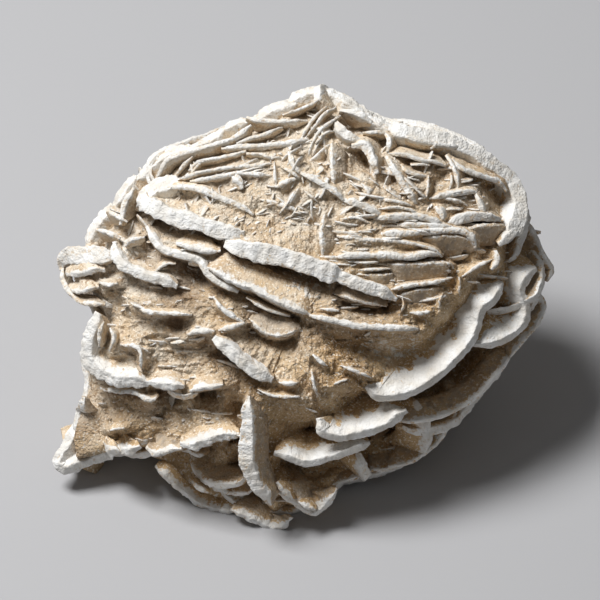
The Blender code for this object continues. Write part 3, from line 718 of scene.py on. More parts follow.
# Right rim: one broad smooth blade of gypsum that curls round the upper right, and the clear
# grey-brown lobes that grew out from behind it. All are rooted in the sandy heart.
RIGHT_RIM = (
    (2.6, 30, 3.0, 1.5, ((32.6, 11.4), (34.2, 14.0), (34.9, 17.2), (33.6, 20.6), (31.0, 23.2),
        (27.0, 25.6), (22.4, 27.4), (17.6, 28.4), (13.4, 29.4))),
    (0.9, 15, 0.8, 1.8, ((25.4, 26.0), (22.0, 26.6), (18.6, 27.0), (15.0, 28.0))),
    (1.6, 25, 1.4, 1.6, ((31.0, 10.4), (33.0, 12.0), (34.6, 14.0))),
    (0.9, 40, 0.5, -2.0, ((39.4, 4.6), (40.2, 6.6), (38.4, 9.8), (37.4, 12.2), (35.8, 14.6)), BARE),
    (0.9, 40, 0.6, -2.0, ((33.0, -7.6), (35.6, -4.6), (37.6, -2.2), (38.8, 0.4), (38.4, 2.0),
        (37.0, 3.2)), BARE),
    (0.6, 10, 0.6, 1.6, ((25.0, 5.4), (27.4, 6.8), (30.0, 8.1))),
    (1.0, 20, 0.9, 1.8, ((29.8, 6.4), (30.9, 7.8), (30.6, 9.6))),
    (1.6, 50, 3.8, -0.8, ((27.0, -5.6), (30.0, -5.6), (33.0, -4.4), (35.2, -2.4), (35.8, 0.4),
        (35.0, 3.2), (36.2, 5.4), (37.4, 6.6))),
)

add_face_blades("right_rim", RIGHT_RIM, rough=0.06, whiteness=1.0,
                holding=(0.5, 4.5, 1.6), seed=400)


# Petals: large curved gypsum blades stacked round the lower right like the leaves of a rose,
# each white along its rim and leaning well back, with sand lying against its face. They grew
# one outside the other from the same root.
PETALS = (
    (1.6, 50, 4.2, 0.0, ((9.6, -12.2), (11.6, -14.0), (16.0, -13.7), (20.0, -11.7), (23.4, -8.8),
        (26.4, -5.6), (27.8, -2.6), (28.4, 0.0), (30.6, 1.8), (31.8, 4.4))),
    (0.9, 45, 0.6, -3.0, ((15.0, -18.0), (19.0, -17.7), (23.0, -16.7), (27.4, -14.2), (31.0, -10.4),
        (33.6, -6.6)), BARE),
    (0.8, 45, 0.4, -7.0, ((13.4, -25.2), (16.4, -24.8), (18.8, -23.6), (21.4, -21.6), (23.2, -18.8),
        (24.4, -16.6)), BARE),
    (0.8, 45, 0.4, -9.5, ((4.0, -28.4), (8.0, -27.4), (11.0, -26.0), (13.6, -24.6)), BARE),
    (1.6, 40, 4.0, 0.0, ((2.0, -17.2), (2.6, -19.6), (6.0, -20.4), (10.6, -19.4), (13.6, -18.2),
        (16.4, -16.2))),
    (1.4, 35, 2.6, -1.0, ((-5.0, -23.0), (-2.6, -23.8), (0.2, -24.6), (4.0, -23.7), (7.6, -22.5),
        (10.4, -21.2))),
)

add_face_blades("petals", PETALS, rough=0.10, whiteness=1.05,
                holding=(0.35, 6.0, 3.6), seed=500)


# Arm: a stubby lump of sandy gypsum that sticks out at the left, white and smooth on top and
# pitted below, with a thin rim that curls down from it over the sand. It grew out of the
# heart's left side.
ARM = (
    ((2.8, 2.8, 2.8, 1.8), 10, 0.5, 0.4, ((-30.4, 8.7), (-34.4, 8.9), (-38.0, 8.8), (-39.3, 7.6),
        (-39.4, 6.4))),
    (0.9, 10, 0.2, 0.2, ((-39.3, 6.8), (-39.2, 4.8), (-37.8, 2.6), (-35.4, 1.1), (-32.0, 0.9)), BARE),
    (1.2, 35, 0.6, 0.5, ((-38.6, 5.8), (-36.4, 5.6), (-34.0, 6.2), (-32.0, 6.4))),
    (1.6, 20, 1.3, 1.0, ((-30.6, 11.0), (-30.3, 8.8), (-28.8, 6.8), (-26.0, 5.4), (-23.0, 4.6),
        (-20.4, 3.6))),
    (0.9, 35, 0.5, 0.2, ((-38.2, 3.4), (-36.2, 2.8), (-34.6, 3.2), (-33.0, 3.6))),
    (0.6, 15, 0.5, 0.4, ((-33.0, 4.4), (-31.6, 4.0), (-30.0, 4.3))),
    (0.8, 12, 0.6, 1.0, ((-25.6, 11.6), (-27.6, 11.2), (-28.8, 10.2))),
)

add_face_blades("arm", ARM, rough=0.2, whiteness=1.0,
                holding=(0.1, 5.0, 0.7), seed=650)


# Ledges: crumbly shelves of sandy gypsum, one above the other down the left side. They grew
# level out of the sand, ragged along their rims, and the lower one ends in a pointed tip.
LEDGES = (
    (0.7, 12, 0.6, 1.4, ((-27.0, 0.6), (-25.4, -0.2), (-22.0, -0.6), (-18.0, -0.9))),
    (0.5, 12, 0.5, 0.8, ((-23.8, 6.2), (-22.0, 7.2), (-20.6, 7.3))),
    (2.3, 35, 2.4, 0.5, ((-33.2, -0.4), (-34.4, -2.8), (-35.2, -5.6), (-35.0, -8.4), (-32.2, -10.6),
        (-28.6, -11.6), (-25.0, -12.0))),
    (1.5, 35, 1.6, 0.8, ((-25.4, -11.8), (-22.4, -12.2), (-19.2, -12.3))),
    (0.9, 30, 1.4, 1.0, ((-18.4, -12.9), (-15.6, -12.4), (-13.0, -12.0))),
    (0.8, 20, 0.4, -0.8, ((-33.0, -12.6), (-30.0, -13.2), (-27.4, -13.4), (-24.8, -14.4),
        (-23.4, -13.6))),
    (0.7, 12, 0.6, 0.8, ((-32.2, -1.8), (-33.0, -3.6), (-33.0, -6.0))),
    (0.6, 12, 0.5, 1.0, ((-31.2, -2.8), (-30.6, -4.6), (-31.4, -6.6))),
    (0.6, 12, 0.5, 1.0, ((-29.6, -5.6), (-26.6, -6.2), (-26.2, -9.4))),
    (1.6, 40, 0.8, 0.5, ((-35.8, -14.0), (-36.6, -17.0), (-37.4, -20.0))),
    (1.8, 40, 3.0, 1.5, ((-37.4, -18.6), (-38.8, -21.8), (-40.3, -24.4), (-39.2, -26.0), (-36.2, -25.2),
        (-33.0, -23.9), (-30.0, -22.6))),
    (1.4, 35, 1.6, 0.5, ((-31.0, -22.4), (-28.6, -23.0), (-26.4, -22.0))),
    (1.0, 30, 1.2, 0.5, ((-25.6, -22.0), (-24.0, -23.2), (-21.4, -22.6), (-19.6, -22.2)), BARE),
    (1.4, 35, 1.6, 0.8, ((-20.0, -21.4), (-17.6, -21.8), (-15.0, -20.8), (-12.6, -20.4),
        (-10.4, -20.0))),
    (0.8, 12, 0.7, 1.5, ((-35.2, -19.6), (-34.4, -21.6), (-33.6, -23.4))),
    (0.5, 12, 0.5, 0.8, ((-31.4, -19.4), (-29.0, -19.0))),
)

add_face_blades("ledges", LEDGES, rough=0.24, whiteness=0.96,
                holding=(0.2, 6.0, 4.0), seed=600)


# Foot: one blade standing upright in the lower middle and the low blades of gypsum under the
# front edge, on which the cluster rests. They grew down and outward from under the heart.
FOOT = (
    ((1.3, 2.7, 2.6, 1.1), 30, 0.8, 2.0, ((-9.0, -13.6), (-9.4, -15.6), (-9.3, -18.0), (-9.5, -21.6),
        (-9.4, -24.6), (-8.0, -28.0), (-6.6, -29.8), (-5.6, -31.4)), BARE),
    (1.2, 45, 0.9, -5.0, ((-24.4, -25.4), (-21.2, -28.2), (-18.2, -31.0), (-14.4, -32.6),
        (-10.4, -32.4))),
    (1.2, 45, 0.9, -2.0, ((-12.0, -32.2), (-8.6, -34.0), (-5.6, -35.4), (-3.4, -35.0),
        (-2.2, -33.4)), BARE),
    (1.2, 50, 0.9, -2.0, ((-4.6, -29.2), (-2.4, -30.8), (-0.4, -32.2), (1.6, -32.8), (4.0, -31.2),
        (5.2, -28.6)), BARE),
    (0.9, 20, 0.8, -0.8, ((-4.6, -27.6), (-3.4, -29.4), (-1.8, -30.6))),
    (0.8, 20, 0.8, -0.8, ((-1.0, -30.8), (0.4, -31.8), (1.8, -32.2))),
    (0.7, 15, 0.6, -3.5, ((-18.6, -27.4), (-17.2, -28.8), (-15.4, -29.6))),
    (0.7, 15, 0.6, -3.5, ((-16.4, -27.2), (-13.6, -29.0), (-11.0, -29.6))),
)

add_face_blades("foot", FOOT, rough=0.18, whiteness=0.95,
                holding=(0.3, 5.0, 1.8), seed=700)


# Back: gypsum blades that cover the hidden side and the underside. They grew out of the sandy
# heart in an even spiral of directions, mostly level, with one in five grown across the rest.
HEART = np.array([0.0, 2.0, -6.0])
UPRIGHT = np.array([0.0, math.cos(LEAN), math.sin(LEAN)])
# Sandy lumps of the heart: centre and radii, each as (u, v, w).
LUMPS = (
    ((0.0, 0.0, -7.0), (30.0, 28.0, 19.0)),
    ((-6.0, 18.0, -2.0), (20.0, 13.0, 12.0)),
    ((16.0, 14.0, -3.0), (18.0, 16.0, 14.0)),
    ((-24.0, -6.0, -4.0), (12.0, 14.0, 11.0)),
    ((-3.0, -14.0, -3.0), (17.0, 17.0, 14.0)),
    ((-27.0, -17.0, -5.5), (9.0, 5.5, 8.5)),
    ((-26.0, 10.0, -2.0), (9.5, 9.0, 8.0)),
    ((2.0, 27.0, -3.0), (12.0, 8.5, 10.0)),
    ((28.0, 2.0, -4.5), (9.0, 13.0, 8.5)),
)
# The cluster's outline seen along the growth axis, as (u, v) points round it.
OUTLINE = np.array([
    (2.0, 36.0), (8.0, 33.0), (12.0, 31.0), (20.0, 29.4), (25.0, 27.4), (29.0, 25.4), (32.0, 23.0),
    (34.5, 19.5), (36.0, 15.5), (37.5, 11.0), (38.5, 6.0), (37.0, 1.0), (36.0, -3.0), (34.0, -6.5),
    (31.0, -11.0), (27.0, -15.0), (24.0, -19.0), (19.0, -23.5), (14.0, -25.6), (6.0, -27.6), (3.0, -31.0),
    (-5.0, -34.0), (-12.0, -31.6), (-18.0, -29.4), (-23.0, -25.0), (-27.0, -23.4), (-31.0, -23.0),
    (-37.6, -24.6), (-38.0, -21.5), (-36.8, -17.0), (-35.4, -13.0), (-35.0, -11.0), (-35.8, -8.0),
    (-35.0, -5.0), (-33.6, -1.0), (-35.0, 2.0), (-38.0, 5.0), (-37.6, 8.4), (-35.2, 10.0), (-34.0, 13.0),
    (-31.0, 17.2), (-28.0, 21.4), (-24.0, 25.0), (-19.0, 26.8), (-15.0, 28.2), (-12.0, 30.2),
    (-8.0, 31.6), (-4.0, 33.8),
])
# What passes the outline is brought back to it, save for this share
OUTLINE_SPILL = 0.2


def skin_distances(directions):
    """Distance from the heart along each direction to the farthest skin of the sandy lumps.

    Each lump is an ellipsoid, so the distance is the larger root of a quadratic.
    """
    farthest = np.zeros(directions.shape[:-1])
    for centre, radii in LUMPS:
        start = (HEART - np.array(centre)) / np.array(radii)
        step = directions / np.array(radii)
        half = step @ start
        squared = np.sum(step * step, -1)
        root = half * half - squared * (start @ start - 1.0)
        reach = np.where(root > 0.0, (np.sqrt(np.maximum(root, 0.0)) - half) / squared, 0.0)
        farthest = np.maximum(farthest, reach)
    return farthest


def outline_reach(angle):
    """Distance from the growth axis to the outline at an angle, straight between its points."""
    turn = np.mod(np.arctan2(OUTLINE[:, 1], OUTLINE[:, 0]), 2.0 * np.pi)
    order = np.argsort(turn)
    far = np.hypot(OUTLINE[:, 0], OUTLINE[:, 1])
    return np.interp(angle, turn[order], far[order], period=2.0 * np.pi)


def drawn_in(points):
    """Points past the outline, brought back to it save for a small share of what they pass it by."""
    radius = np.hypot(points[..., 0], points[..., 1])
    past = radius - outline_reach(np.arctan2(points[..., 1], points[..., 0]))
    scale = 1.0 - (1.0 - OUTLINE_SPILL) * np.maximum(past, 0.0) / np.maximum(radius, 1.0)
    return points * np.stack([scale, scale, np.ones_like(scale)], -1)


def lying(direction, angle):
    """The way a crystal lies on the back: level, turned by this angle about the direction."""
    level = unit(np.cross(direction, UPRIGHT))
    return level * math.cos(angle) + np.cross(level, direction) * math.sin(angle)


# The power of the rims' superellipse, the spacing of their sections, their length in half
# lengths and the fewest sections
ARC_POWER = 2.7
ARC_SPACING = 0.35
ARC_LENGTH = 3.2
ARC_FEWEST = 12


def arc_rim(left, outermost, right):
    """The showing half of a crystal's rim: half a superellipse from its left end to its right end."""
    centre = (left + right) / 2.0
    along = (right - left) / 2.0
    outward = outermost - centre
    count = max(int(ARC_LENGTH * np.linalg.norm(along) / ARC_SPACING), ARC_FEWEST)
    angle = np.linspace(math.pi, 0.0, count)
    powers = np.abs(np.cos(angle)) ** ARC_POWER + np.abs(np.sin(angle)) ** ARC_POWER
    radius = powers ** (-1.0 / ARC_POWER)
    along_part = (radius * np.cos(angle))[:, None] * along
    return centre + along_part + (radius * np.sin(angle))[:, None] * outward, np.sin(angle) ** 0.5


# Large blades of the back: how many directions, the depth from which they start, how deep
# their ends are rooted, and the finish, the tilt and the clean strip that all of them share
BACK_CRYSTALS = 46
BACK_EDGE = 0.12
BACK_SINK = 8.0
BACK_ROUGH = 0.16
BACK_WHITENESS = 0.95
BACK_TILT = 18.0
BACK_STRIP_WIDTH = 1.6
GOLDEN_TURN = 3.0 - math.sqrt(5.0)
CROSSING_EVERY = 5
CROSSING_HALF_LENGTH = 9.0
# How the large blades vary from one to the next: the mean, swing and pace of a sine
SPIN = (0.0, math.radians(22.0), 2.4)
HALF_LENGTH = (12.5, 3.5, 1.7)
STAND = (2.5, 1.0, 3.1)
THICKNESS = (1.9, 0.5, 2.3)


def varied(rule, number, base=0.0):
    """Base plus mean plus swing times the sine of the crystal's number times the pace."""
    mean, swing, pace = rule
    return base + mean + swing * math.sin(pace * number)


def back_blades():
    """Large blades: golden-angle directions, each rim laid across its own with its ends sunk in."""
    blades = []
    for number in range(BACK_CRYSTALS):
        depth = 1.0 - 2.0 * (number + 0.5) / BACK_CRYSTALS
        if depth > BACK_EDGE:
            continue
        ring = math.sqrt(1.0 - depth * depth)
        turn = number * math.pi * GOLDEN_TURN
        direction = np.array([ring * math.cos(turn), ring * math.sin(turn), depth])
        crossing = number % CROSSING_EVERY == 0
        spin = varied(SPIN, number) + (math.pi / 2.0 if crossing else 0.0)
        along = lying(direction, spin)
        along = along * (CROSSING_HALF_LENGTH if crossing else varied(HALF_LENGTH, number))
        skin = float(skin_distances(direction[None, :])[0])
        middle = HEART + direction * (skin - BACK_SINK)
        outermost = HEART + direction * varied(STAND, number, skin)
        rim, close = arc_rim(middle - along, outermost, middle + along)
        finish = ((varied(THICKNESS, number),), BACK_TILT, BACK_STRIP_WIDTH, False)
        blades.append((drawn_in(rim), close, np.broadcast_to(direction, rim.shape), finish))
    return blades


large_back = back_blades()
back_shells = [blade_shell(*blade, BACK_ROUGH, 800 + SEED_STEP * number)
               for number, blade in enumerate(large_back)]
make_piece("back", back_shells, BACK_WHITENESS, gypsum)


# Back fill: lesser gypsum blades wedged between the large ones all over the back and the
# sides, short runs that follow the skin and stand a few millimetres out of the sand.
# Lesser blades: how many, their finish, spacing of sections, bow, and how they root
FILL_COUNT = 260
FILL_SEED = 17
FILL_ROUGH = 0.13
FILL_WHITENESS = 0.9
FILL_SPACING = 0.5
FILL_FEWEST = 8
FILL_BOW = 0.12
FILL_SINK = 0.4
FILL_TAPER = 0.8
# Half length as (least, range, power), and the spread of the turns out of level in degrees
FILL_HALF = (2.2, 10.0, 2.0)
FILL_TURNS = 16.0
CROSSING_SHARE = 0.2
# Sizes as (least, share of the half length, most that chance adds)
FILL_STAND = (0.8, 0.15, 0.8)
FILL_THICKNESS = (0.45, 0.09, 0.3)
FILL_TILTS = (5.0, 45.0)
FILL_STRIP = (0.5, 0.09)


def half_length(rule, dice):
    """Least half length plus a range times an even random value raised to a power."""
    least, span, power = rule
    return least + span * dice.random() ** power


def size_for(rule, half, dice):
    """Least size plus a share of the half length plus an even random extra."""
    least, share, extra = rule
    return least + share * half + dice.uniform(0.0, extra)


def crossing_turn(dice):
    """A quarter turn for one crystal in five, and none for the rest."""
    return math.pi / 2.0 if dice.random() < CROSSING_SHARE else 0.0


def skin_blade(direction, angle, half, stand, finish):
    """A short bowed run through a direction, rising off the skin by a half-circle to its stand."""
    distance = float(skin_distances(direction[None, :])[0])
    along = lying(direction, angle)
    steps = np.linspace(-1.0, 1.0, max(int(2.0 * half / FILL_SPACING), FILL_FEWEST))
    bow = np.cross(along, direction) * FILL_BOW * half * (1.0 - steps ** 2)[:, None]
    rays = unit(direction + (along * (steps * half)[:, None] + bow) / distance)
    close = np.sqrt(np.clip(1.0 - steps ** 2, 0.0, 1.0))
    rim = HEART + rays * (skin_distances(rays) + stand * close - FILL_SINK)[:, None]
    return drawn_in(rim), smoothstep(0.0, FILL_TAPER, close), rays, finish


def back_fill():
    """Blades in even random directions, with lengths that fall off as a power."""
    dice = np.random.default_rng(FILL_SEED)
    blades = []
    while len(blades) < FILL_COUNT:
        direction = unit(dice.normal(size=3))
        if direction[2] > BACK_EDGE:
            continue
        half = half_length(FILL_HALF, dice)
        angle = math.radians(dice.normal(0.0, FILL_TURNS)) + crossing_turn(dice)
        stand = size_for(FILL_STAND, half, dice)
        thickness = size_for(FILL_THICKNESS, half, dice)
        finish = ((thickness,), dice.uniform(*FILL_TILTS), FILL_STRIP[0] + FILL_STRIP[1] * half, False)
        blades.append(skin_blade(direction, angle, half, stand, finish))
    return blades


lesser_back = back_fill()
fill_shells = [blade_shell(*blade, FILL_ROUGH, 3000 + 3 * number)
               for number, blade in enumerate(lesser_back)]
make_piece("back_fill", fill_shells, FILL_WHITENESS, gypsum)


# Sand: tan desert sand, set hard by the gypsum that grew in it. It fills the face between the
# blades, banked against them, and is worn into trenches under ledges and hollows between rims.
OUTLINE_INSET = 0.5
EDGE_HEIGHT = -6.0
# Hollows between crystals: middle (u, v), radius and depth. The first, with a depth below 0,
# is the mound of the arm.
HOLLOWS = (
    (-36.2, 4.6, 2.4, -1.6), (4.0, 33.5, 1.2, 1.0), (2.5, 31.7, 1.1, 0.9), (8.0, 30.3, 1.3, 1.0),
    (10.0, 27.8, 1.2, 1.0), (14.5, 26.0, 1.4, 1.0), (17.5, 24.2, 2.0, 1.2), (5.8, 22.0, 1.6, 1.6),
    (-1.8, 17.8, 1.1, 1.0), (4.0, 11.0, 1.3, 1.4), (22.5, 10.0, 2.6, 1.8), (28.0, 12.3, 1.8, 1.4),
    (18.0, 6.6, 2.4, 1.6), (11.8, 5.2, 1.3, 1.0), (17.8, 2.2, 1.8, 1.2), (9.0, 1.4, 2.2, 1.0),
    (13.0, 0.5, 1.0, 1.6), (-20.5, -2.2, 1.8, 1.2), (-16.0, -5.0, 1.0, 1.2), (-31.4, 5.6, 1.2, 1.0),
    (-20.0, 2.2, 3.6, 1.4), (-18.0, 6.2, 1.6, 1.2), (2.0, -2.6, 2.2, 0.9), (9.0, -4.4, 2.4, 0.9),
    (-4.0, -13.4, 1.6, 0.9), (-35.0, -24.0, 1.0, 0.8), (-28.6, 12.4, 1.2, 1.0), (-13.6, 20.0, 1.4, 0.7),
    (-26.0, 7.6, 1.6, 1.0), (33.4, 8.6, 1.6, 1.6), (32.4, -1.6, 2.0, 1.0), (-8.0, -0.8, 2.6, 1.3),
    (9.5, -22.6, 3.0, 2.6), (-24.0, -24.6, 2.4, 2.6), (-18.6, -25.4, 2.4, 2.6), (-7.6, -22.0, 1.2, 1.8),
    (-12.4, -16.0, 1.4, 0.8), (-2.0, -20.0, 2.0, 1.0), (-30.0, -17.6, 2.0, 0.8),
)
# Powdery patches of chalk on the sand: middle (u, v), radii and strength.
POWDER = (
    (-3.0, 3.0, 9.0, 3.2, 0.6), (-18.0, 5.6, 5.0, 2.2, 0.4), (14.0, -6.0, 7.0, 4.0, 0.5),
    (-20.0, 23.0, 14.0, 6.0, 0.4), (-33.0, 8.8, 6.0, 3.0, 0.5), (2.0, -21.0, 6.0, 2.0, 0.4),
    (-30.0, 14.0, 4.0, 6.0, 0.5), (-36.8, -22.8, 3.4, 3.0, 1.0), (-31.0, -7.0, 4.0, 5.0, 0.3),
    (-12.0, -18.0, 4.0, 3.0, 0.4), (0.0, 29.0, 8.0, 5.0, 0.35),
)
SAND_RIM_SPACING = 0.9
# A faint pull of all the sand toward the dome, which rules where no blade is near
PULL = 0.02
PULL_SINK = 1.0
# Thick or well tilted blades are major: they hold sand on their face's side alone,
MAJOR_THICKNESS = 1.15
MAJOR_TILT = 28
# and thin ones hold it on both. Edges say where holding starts and is whole, in mm of rise
FACE_EDGE = (-0.6, 0.1)
MINOR_EDGE = (-1.4, 0.1)
MINOR_ABOVE = 0.4
MINOR_REACH = 0.5
MINOR_WEIGHT = 0.8
MINOR_TRENCH = 0.35
WEIGHT_SOFT = 0.4
STEEPEST = 3.0
LEAST_SHOWN = 0.08
SINK_LIMITS = (0.2, 2.5)
# The trench worn under a rim: where it starts and is whole, its width, and how deep a
# trench or a hollow is where the painted shade in it is darkest
TRENCH_EDGE = (0.2, 0.9)
TRENCH_WIDTH = 1.1
TRENCH_SPREAD = 0.25
DEEP_TRENCH = 4.5
DEEP_HOLLOW = 1.6


def across_rim(u, v, blade):
    """At each spot: distance from the rim, how far it is on the face's side, rim height, end."""
    rim, close = rim_of(blade, SAND_RIM_SPACING)
    along = unit(np.gradient(rim[:, :2], axis=0))
    gap = (u[..., None] - rim[:, 0]) ** 2 + (v[..., None] - rim[:, 1]) ** 2
    nearest = np.argmin(gap, axis=-1)
    distance = np.sqrt(np.take_along_axis(gap, nearest[..., None], -1)[..., 0])
    foot, along = rim[nearest], along[nearest]
    rise = (v - foot[..., 1]) * along[..., 0] - (u - foot[..., 0]) * along[..., 1]
    return distance, rise, foot[..., 2], close[nearest]


def bell(offset, width):
    """Fall off as a bell from 1 at no offset: e to the minus squared offset over width."""
    return np.exp(-(offset / width) ** 2)


def sand_height(u, v):
    """Weighted mean over the blades of rim height - sink - slope times distance, less the trenches and
    hollows.

    A thick blade holds sand up on its face's side alone, with a weight that falls as a bell
    over its reach. A thin one holds it up on both sides. Where a face slopes, the sand starts
    where its clean strip ends. Also gives painted shade from 0 to 1: how much darker brown the
    sand is painted in its trenches and hollows.
    """
    total = PULL * (dome(u, v) - PULL_SINK)
    weights = np.full_like(u, PULL)
    trench = np.zeros_like(u)
    for rows, (slope, spread, worn) in face_groups:
        for blade in rows:
            thickness, tilt, margin = np.max(blade[0]), blade[1], blade[2]
            distance, rise, height, close = across_rim(u, v, blade)
            steep = min(1.0 / math.tan(math.radians(tilt)), STEEPEST)
            shown = max(margin * math.sin(math.radians(tilt)), LEAST_SHOWN)
            sink = np.clip((steep - slope) * shown, *SINK_LIMITS)
            major = thickness > MAJOR_THICKNESS or tilt > MAJOR_TILT
            if major:
                above = smoothstep(*FACE_EDGE, rise)
            else:
                above = smoothstep(*MINOR_EDGE, rise) * (1.0 - MINOR_ABOVE) + MINOR_ABOVE
            reach = spread if major else MINOR_REACH * spread
            strength = 1.0 if major else MINOR_WEIGHT
            weight = above * bell(distance, reach) * strength / (WEIGHT_SOFT + distance)
            total = total + weight * (height - sink - slope * distance)
            weights = weights + weight
            below = smoothstep(*TRENCH_EDGE, -rise) * close * (1.0 if major else MINOR_TRENCH)
            away = np.clip(distance - 0.5 * thickness, 0.0, None)
            width = TRENCH_WIDTH + TRENCH_SPREAD * worn
            trench = np.maximum(trench, worn * below * bell(away, width))
    hollow_and_painted_shade = np.zeros_like(u)
    for middle_u, middle_v, radius, depth in HOLLOWS:
        hollow_and_painted_shade = hollow_and_painted_shade + depth * np.exp(-((u - middle_u) ** 2 + (v - middle_v) ** 2) / radius ** 2)
    # Painted shade: a mask that paints the sand darker brown in trenches and hollows, where shade falls
    painted_shade = np.clip(trench / DEEP_TRENCH + hollow_and_painted_shade / DEEP_HOLLOW, 0.0, 1.0)
    return total / weights - trench - hollow_and_painted_shade, painted_shade


# Buried crystals show as crests: how noise is stretched along them, its size and sharpness
LEVEL_STRETCH = np.array([0.30, 1.0, 0.5])
LEVEL_BEND = 6.0
LEVEL_CREST = (1.15, 3.2)
UPRIGHT_STRETCH = np.array([0.8, 0.35, 0.6])
UPRIGHT_CREST = (0.9, 3.6)
CREST_POWER = 1.5


def crests_of(points, crest, seed):
    """Crests where a noise crosses zero: 1 less its size times a sharpness, raised to a power."""
    size, sharpness = crest
    return np.clip(1.0 - np.abs(noise(points, size, seed)) * sharpness, 0.0, 1.0) ** CREST_POWER


def crystal_crests(points, seed):
    """Crests of buried crystals: stretched noise folded at zero, one set level and one upright."""
    bend = noise(points, LEVEL_BEND, seed)[..., None] * np.array([1.0, 0.0, 0.0])
    level = crests_of(points * LEVEL_STRETCH + bend, LEVEL_CREST, seed + 1)
    return level, crests_of(points * UPRIGHT_STRETCH, UPRIGHT_CREST, seed + 2)


# Rings of the face: how many points round, rings out and rings under, and how they crowd
# and roll down toward the edge. Then the crests, the grain and the chalk on them
FACE_AROUND = 860
FACE_ACROSS = 106
FACE_UNDER = 6
RING_POWER = 0.75
ROLL_POWER = 20
UNDER_START = 0.92
UNDER_DEPTH = 3.0
CREST_PATCH = (-0.15, 0.25)
CREST_PATCH_SIZE = 7.0
LEVEL_LEAST = 0.35
LEVEL_MORE = 0.55
UPRIGHT_MOST = 0.35
CREST_HEIGHT = 0.6
FACE_GRAIN = ((2.2, 0.28), (1.0, 0.26), (0.42, 0.28))
POWDER_BREAKS = ((1.6, 0.6),)
POWDER_MEAN = 0.8
FACE_CHALK = (0.6, 1.0)
FACE_CHALK_MOST = 0.62


def face_sand():
    """Face of the sand as polar rings out to the outline, at the sand height plus crests and grain.

    The last rings roll down to the edge height and turn under to close the body behind.
    """
    angle = np.linspace(0.0, 2.0 * np.pi, FACE_AROUND, endpoint=False)[:, None]
    limit = outline_reach(angle) - OUTLINE_INSET
    spread = np.linspace(0.0, 1.0, FACE_ACROSS)[None, :] ** RING_POWER
    u = limit * spread * np.cos(angle)
    v = limit * spread * np.sin(angle)
    height, hollow_and_painted_shade = sand_height(u, v)
    roll = spread ** ROLL_POWER
    spots = np.stack([u, v, height], -1)
    level, upright = crystal_crests(spots, 51)
    patches = smoothstep(*CREST_PATCH, noise(spots, CREST_PATCH_SIZE, 61))
    crest = np.maximum(level * (LEVEL_LEAST + LEVEL_MORE * patches),
                       upright * (1.0 - patches) * UPRIGHT_MOST)
    relief = layered(spots, FACE_GRAIN, 21) + CREST_HEIGHT * crest
    w = height * (1.0 - roll) + EDGE_HEIGHT * roll + relief * (1.0 - roll)
    inner = np.linspace(UNDER_START, 0.0, FACE_UNDER)[None, :]
    below = EDGE_HEIGHT - UNDER_DEPTH * (1.0 - inner) + 0.0 * angle
    underside = np.stack([u[:, -1:] * inner, v[:, -1:] * inner, below], -1)
    points = np.concatenate([np.stack([u, v, w], -1), underside], 1)
    powder = np.zeros_like(u)
    for middle_u, middle_v, radius_u, radius_v, strength in POWDER:
        patch = np.exp(-((u - middle_u) / radius_u) ** 2 - ((v - middle_v) / radius_v) ** 2)
        powder = powder + strength * patch * layered(spots, POWDER_BREAKS, 81, POWDER_MEAN)
    chalk = np.clip(smoothstep(*FACE_CHALK, crest) * FACE_CHALK_MOST + powder, 0.0, 1.0)
    hidden = np.zeros((FACE_AROUND, FACE_UNDER))
    # The second mask is painted shade, darker brown in trenches under rims and hollows between crystals
    masks = [np.concatenate([mask * (1.0 - roll), hidden], 1) for mask in (chalk, hollow_and_painted_shade)]
    return points, *masks, limit[:, 0]


# The sand of the back: as on the face, with one kind of blade
BACK_PULL_HEIGHT = 0.3
BURIED = -0.5
FEWEST_SHOWING = 5
BACK_FACE_EDGE = (-0.5, 0.3)
BACK_SPREAD = 5.0
BACK_SOFT = 0.5
BACK_RIM_SINK = 0.9
BACK_SLOPE = 0.22
BACK_TRENCH_EDGE = (0.1, 0.8)
BACK_TRENCH_WIDTH = 1.6
BACK_TRENCH_STAND = (0.8, 2.0)
BACK_TRENCH_SHADE = 0.8


def back_height(directions, skin, blades):
    """How far the sand stands over the skin of the back, held up by its blades as on the face."""
    total = np.full(skin.shape, PULL * BACK_PULL_HEIGHT)
    weights = np.full(skin.shape, PULL)
    trench = np.zeros(skin.shape)
    for rim, _, _, finish in blades:
        ray = rim - HEART
        far = np.linalg.norm(ray, axis=1)
        ray = ray / far[:, None]
        stand = far - skin_distances(ray)
        shows = stand > BURIED
        if shows.sum() < FEWEST_SHOWING:
            continue
        ray, stand, thickness = ray[shows], stand[shows], finish[0][0]
        tangent = unit(np.gradient(ray, axis=0))
        nearest = np.argmax(directions @ ray.T, axis=-1)
        offset = directions - ray[nearest]
        distance = np.linalg.norm(offset, axis=-1) * skin
        rise = np.sum(offset * np.cross(ray, tangent)[nearest], -1) * skin
        above = smoothstep(*BACK_FACE_EDGE, rise)
        weight = above * bell(distance, BACK_SPREAD) * thickness / (BACK_SOFT + distance)
        total = total + weight * (stand[nearest] - BACK_RIM_SINK - BACK_SLOPE * distance)
        weights = weights + weight
        away = np.clip(distance - 0.5 * thickness, 0.0, None)
        worn = smoothstep(*BACK_TRENCH_EDGE, -rise) * bell(away, BACK_TRENCH_WIDTH)
        trench = np.maximum(trench, worn * smoothstep(*BACK_TRENCH_STAND, stand[nearest]))
    # The second value is painted shade: a mask that paints the sand darker brown in trenches under rims
    return total / weights - trench, trench * BACK_TRENCH_SHADE


# Rings of the back: as those of the face, from just before the edge round to the middle.
# Then how the edge is met, how rough the sand is, and the chalk on its crests
BACK_AROUND = 430
BACK_ACROSS = 96
BACK_UNDER = 5
TIP_START = -0.06
BLEND_END = 0.5
START_INSET = 0.1
START_NOISE = ((2.0, 0.3),)
BACK_RUGGED = ((4.0, 0.5), (1.5, 0.3), (0.7, 0.2))
BACK_CREST = 0.5
UNDER_END = 0.9
BACK_CHALK = (0.6, 0.95)
BACK_CHALK_MOST = 0.6


